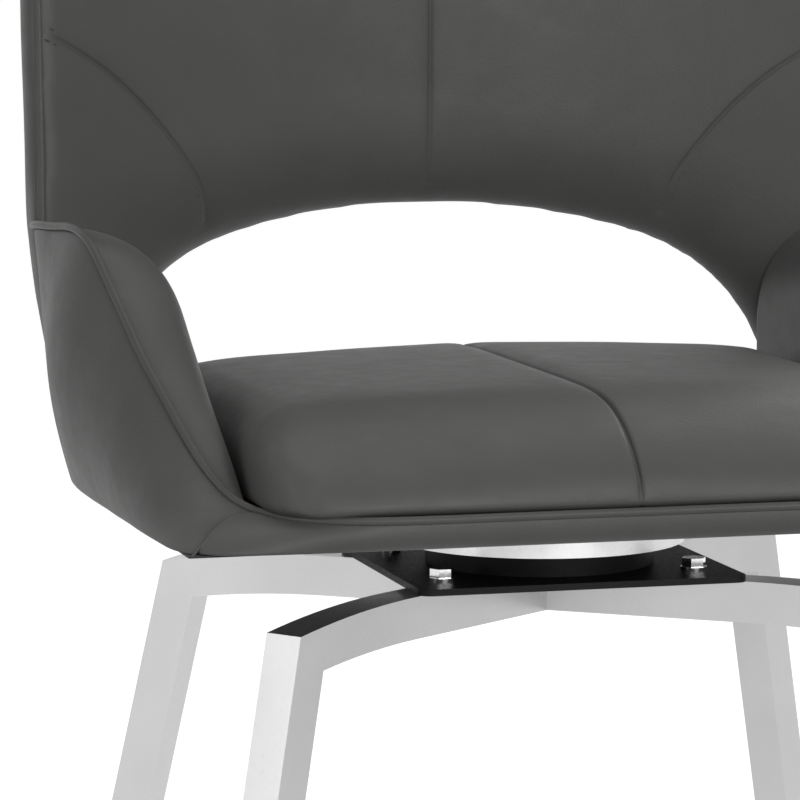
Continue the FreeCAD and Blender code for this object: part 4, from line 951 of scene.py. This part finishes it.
for name, side in SIDES.items():
    line = smooth_path([(side * x, z) for x, z in SIDE_SEAM], 80)
    along = np.gradient(line, axis=0)
    along /= np.linalg.norm(along, axis=1, keepdims=True)
    across = np.column_stack([-along[:, 1], along[:, 0]])
    for row, offset in (("inner", -ROW_OFFSET), ("outer", ROW_OFFSET)):
        path = settle(on_front(line + across * offset), back_inset, 6)
        stitches(f"back_stitches_{name}_{row}", path)

# Floor and light
FLOOR_HALF, FLOOR_TONE, FLOOR_GLOW = 9, 0.4, 0.93
WORLD_LIGHT, WORLD_WHITE = 0.18, 1.0
LAMPS = [    # name, place, target, size, power
    ("key", (0.5, -2.7, 1.1), (0, 0, 0.5), (1.8, 1.0), 48),
    ("side", (-2.3, -0.7, 1.1), (0, 0, 0.5), (0.8, 1.6), 13),
    ("top", (0.2, 0.5, 3.0), (0, 0, 0.5), (1.6, 1.6), 12),
    ("rear", (2.2, 1.9, 2.2), (0, 0, 0.6), (1.6, 1.2), 24),
]


def ray_share(tree):
    """1 for rays that show the background itself, to the eye or in a reflection."""
    path = tree.nodes.new("ShaderNodeLightPath")
    total = path.outputs["Is Camera Ray"]
    for other in ("Is Glossy Ray", "Is Transmission Ray"):
        either = tree.nodes.new("ShaderNodeMath")
        either.operation = "MAXIMUM"
        tree.links.new(total, either.inputs[0])
        tree.links.new(path.outputs[other], either.inputs[1])
        total = either.outputs[0]
    return total


def aimed(place, way, data, name):
    """Lamp or camera at a place, looking along a direction."""
    item = bpy.data.objects.new(name, data)
    item.location = place
    item.rotation_mode = "QUATERNION"
    item.rotation_quaternion = way.to_track_quat("-Z", "Y")
    scene.collection.objects.link(item)
    return item


floor_mesh = bpy.data.meshes.new("floor")
floor_corners = [(FLOOR_HALF * a, FLOOR_HALF * b, 0) for a, b in ((-1, -1), (1, -1), (1, 1), (-1, 1))]
floor_mesh.from_pydata(floor_corners, [], [(0, 1, 2, 3)])
floor = bpy.data.objects.new("floor", floor_mesh)
scene.collection.objects.link(floor)

floor_material = bpy.data.materials.new("floor")
floor_material.use_nodes = True
tree = floor_material.node_tree
tree.nodes.clear()
output = tree.nodes.new("ShaderNodeOutputMaterial")
diffuse = tree.nodes.new("ShaderNodeBsdfDiffuse")
diffuse.inputs["Color"].default_value = (FLOOR_TONE, FLOOR_TONE, FLOOR_TONE, 1)
glow = tree.nodes.new("ShaderNodeEmission")
level = tree.nodes.new("ShaderNodeMath")
level.operation = "MULTIPLY"
level.inputs[1].default_value = FLOOR_GLOW
tree.links.new(ray_share(tree), level.inputs[0])
tree.links.new(level.outputs[0], glow.inputs["Strength"])
total = tree.nodes.new("ShaderNodeAddShader")
tree.links.new(diffuse.outputs[0], total.inputs[0])
tree.links.new(glow.outputs[0], total.inputs[1])
tree.links.new(total.outputs[0], output.inputs["Surface"])
floor_mesh.materials.append(floor_material)

world = bpy.data.worlds.new("studio")
scene.world = world
world.use_nodes = True
tree = world.node_tree
background = tree.nodes["Background"]
background.inputs["Color"].default_value = (1, 1, 1, 1)
span = tree.nodes.new("ShaderNodeMapRange")
span.inputs["To Min"].default_value = WORLD_LIGHT
span.inputs["To Max"].default_value = WORLD_WHITE
tree.links.new(ray_share(tree), span.inputs["Value"])
tree.links.new(span.outputs["Result"], background.inputs["Strength"])

for name, place, target, size, power in LAMPS:
    light = bpy.data.lights.new(name, "AREA")
    light.shape = "RECTANGLE"
    light.size, light.size_y = size
    light.energy = power
    aimed(place, Vector(target) - Vector(place), light, name)

# Camera at the photograph's viewpoint: where it stands round the chair, and how it is turned there
CAMERA_PLACE = (-0.7732, AXIS_Y - 2.4824, 0.765)
AZIMUTH, YAW, PITCH = math.radians(-17.3), math.radians(-1.88), math.radians(-6.69)
camera_data = bpy.data.cameras.new("camera")
camera_data.sensor_width = 36
camera_data.lens = 193.05
camera_data.clip_end = 60
forward = Vector((-math.sin(AZIMUTH), math.cos(AZIMUTH), 0))
right = Vector((math.cos(AZIMUTH), math.sin(AZIMUTH), 0))
level_way = forward * math.cos(YAW) + right * math.sin(YAW)
look = level_way * math.cos(PITCH) + Vector((0, 0, 1)) * math.sin(PITCH)
scene.camera = aimed(CAMERA_PLACE, look, camera_data, "camera")
scene.view_settings.view_transform = "Standard"
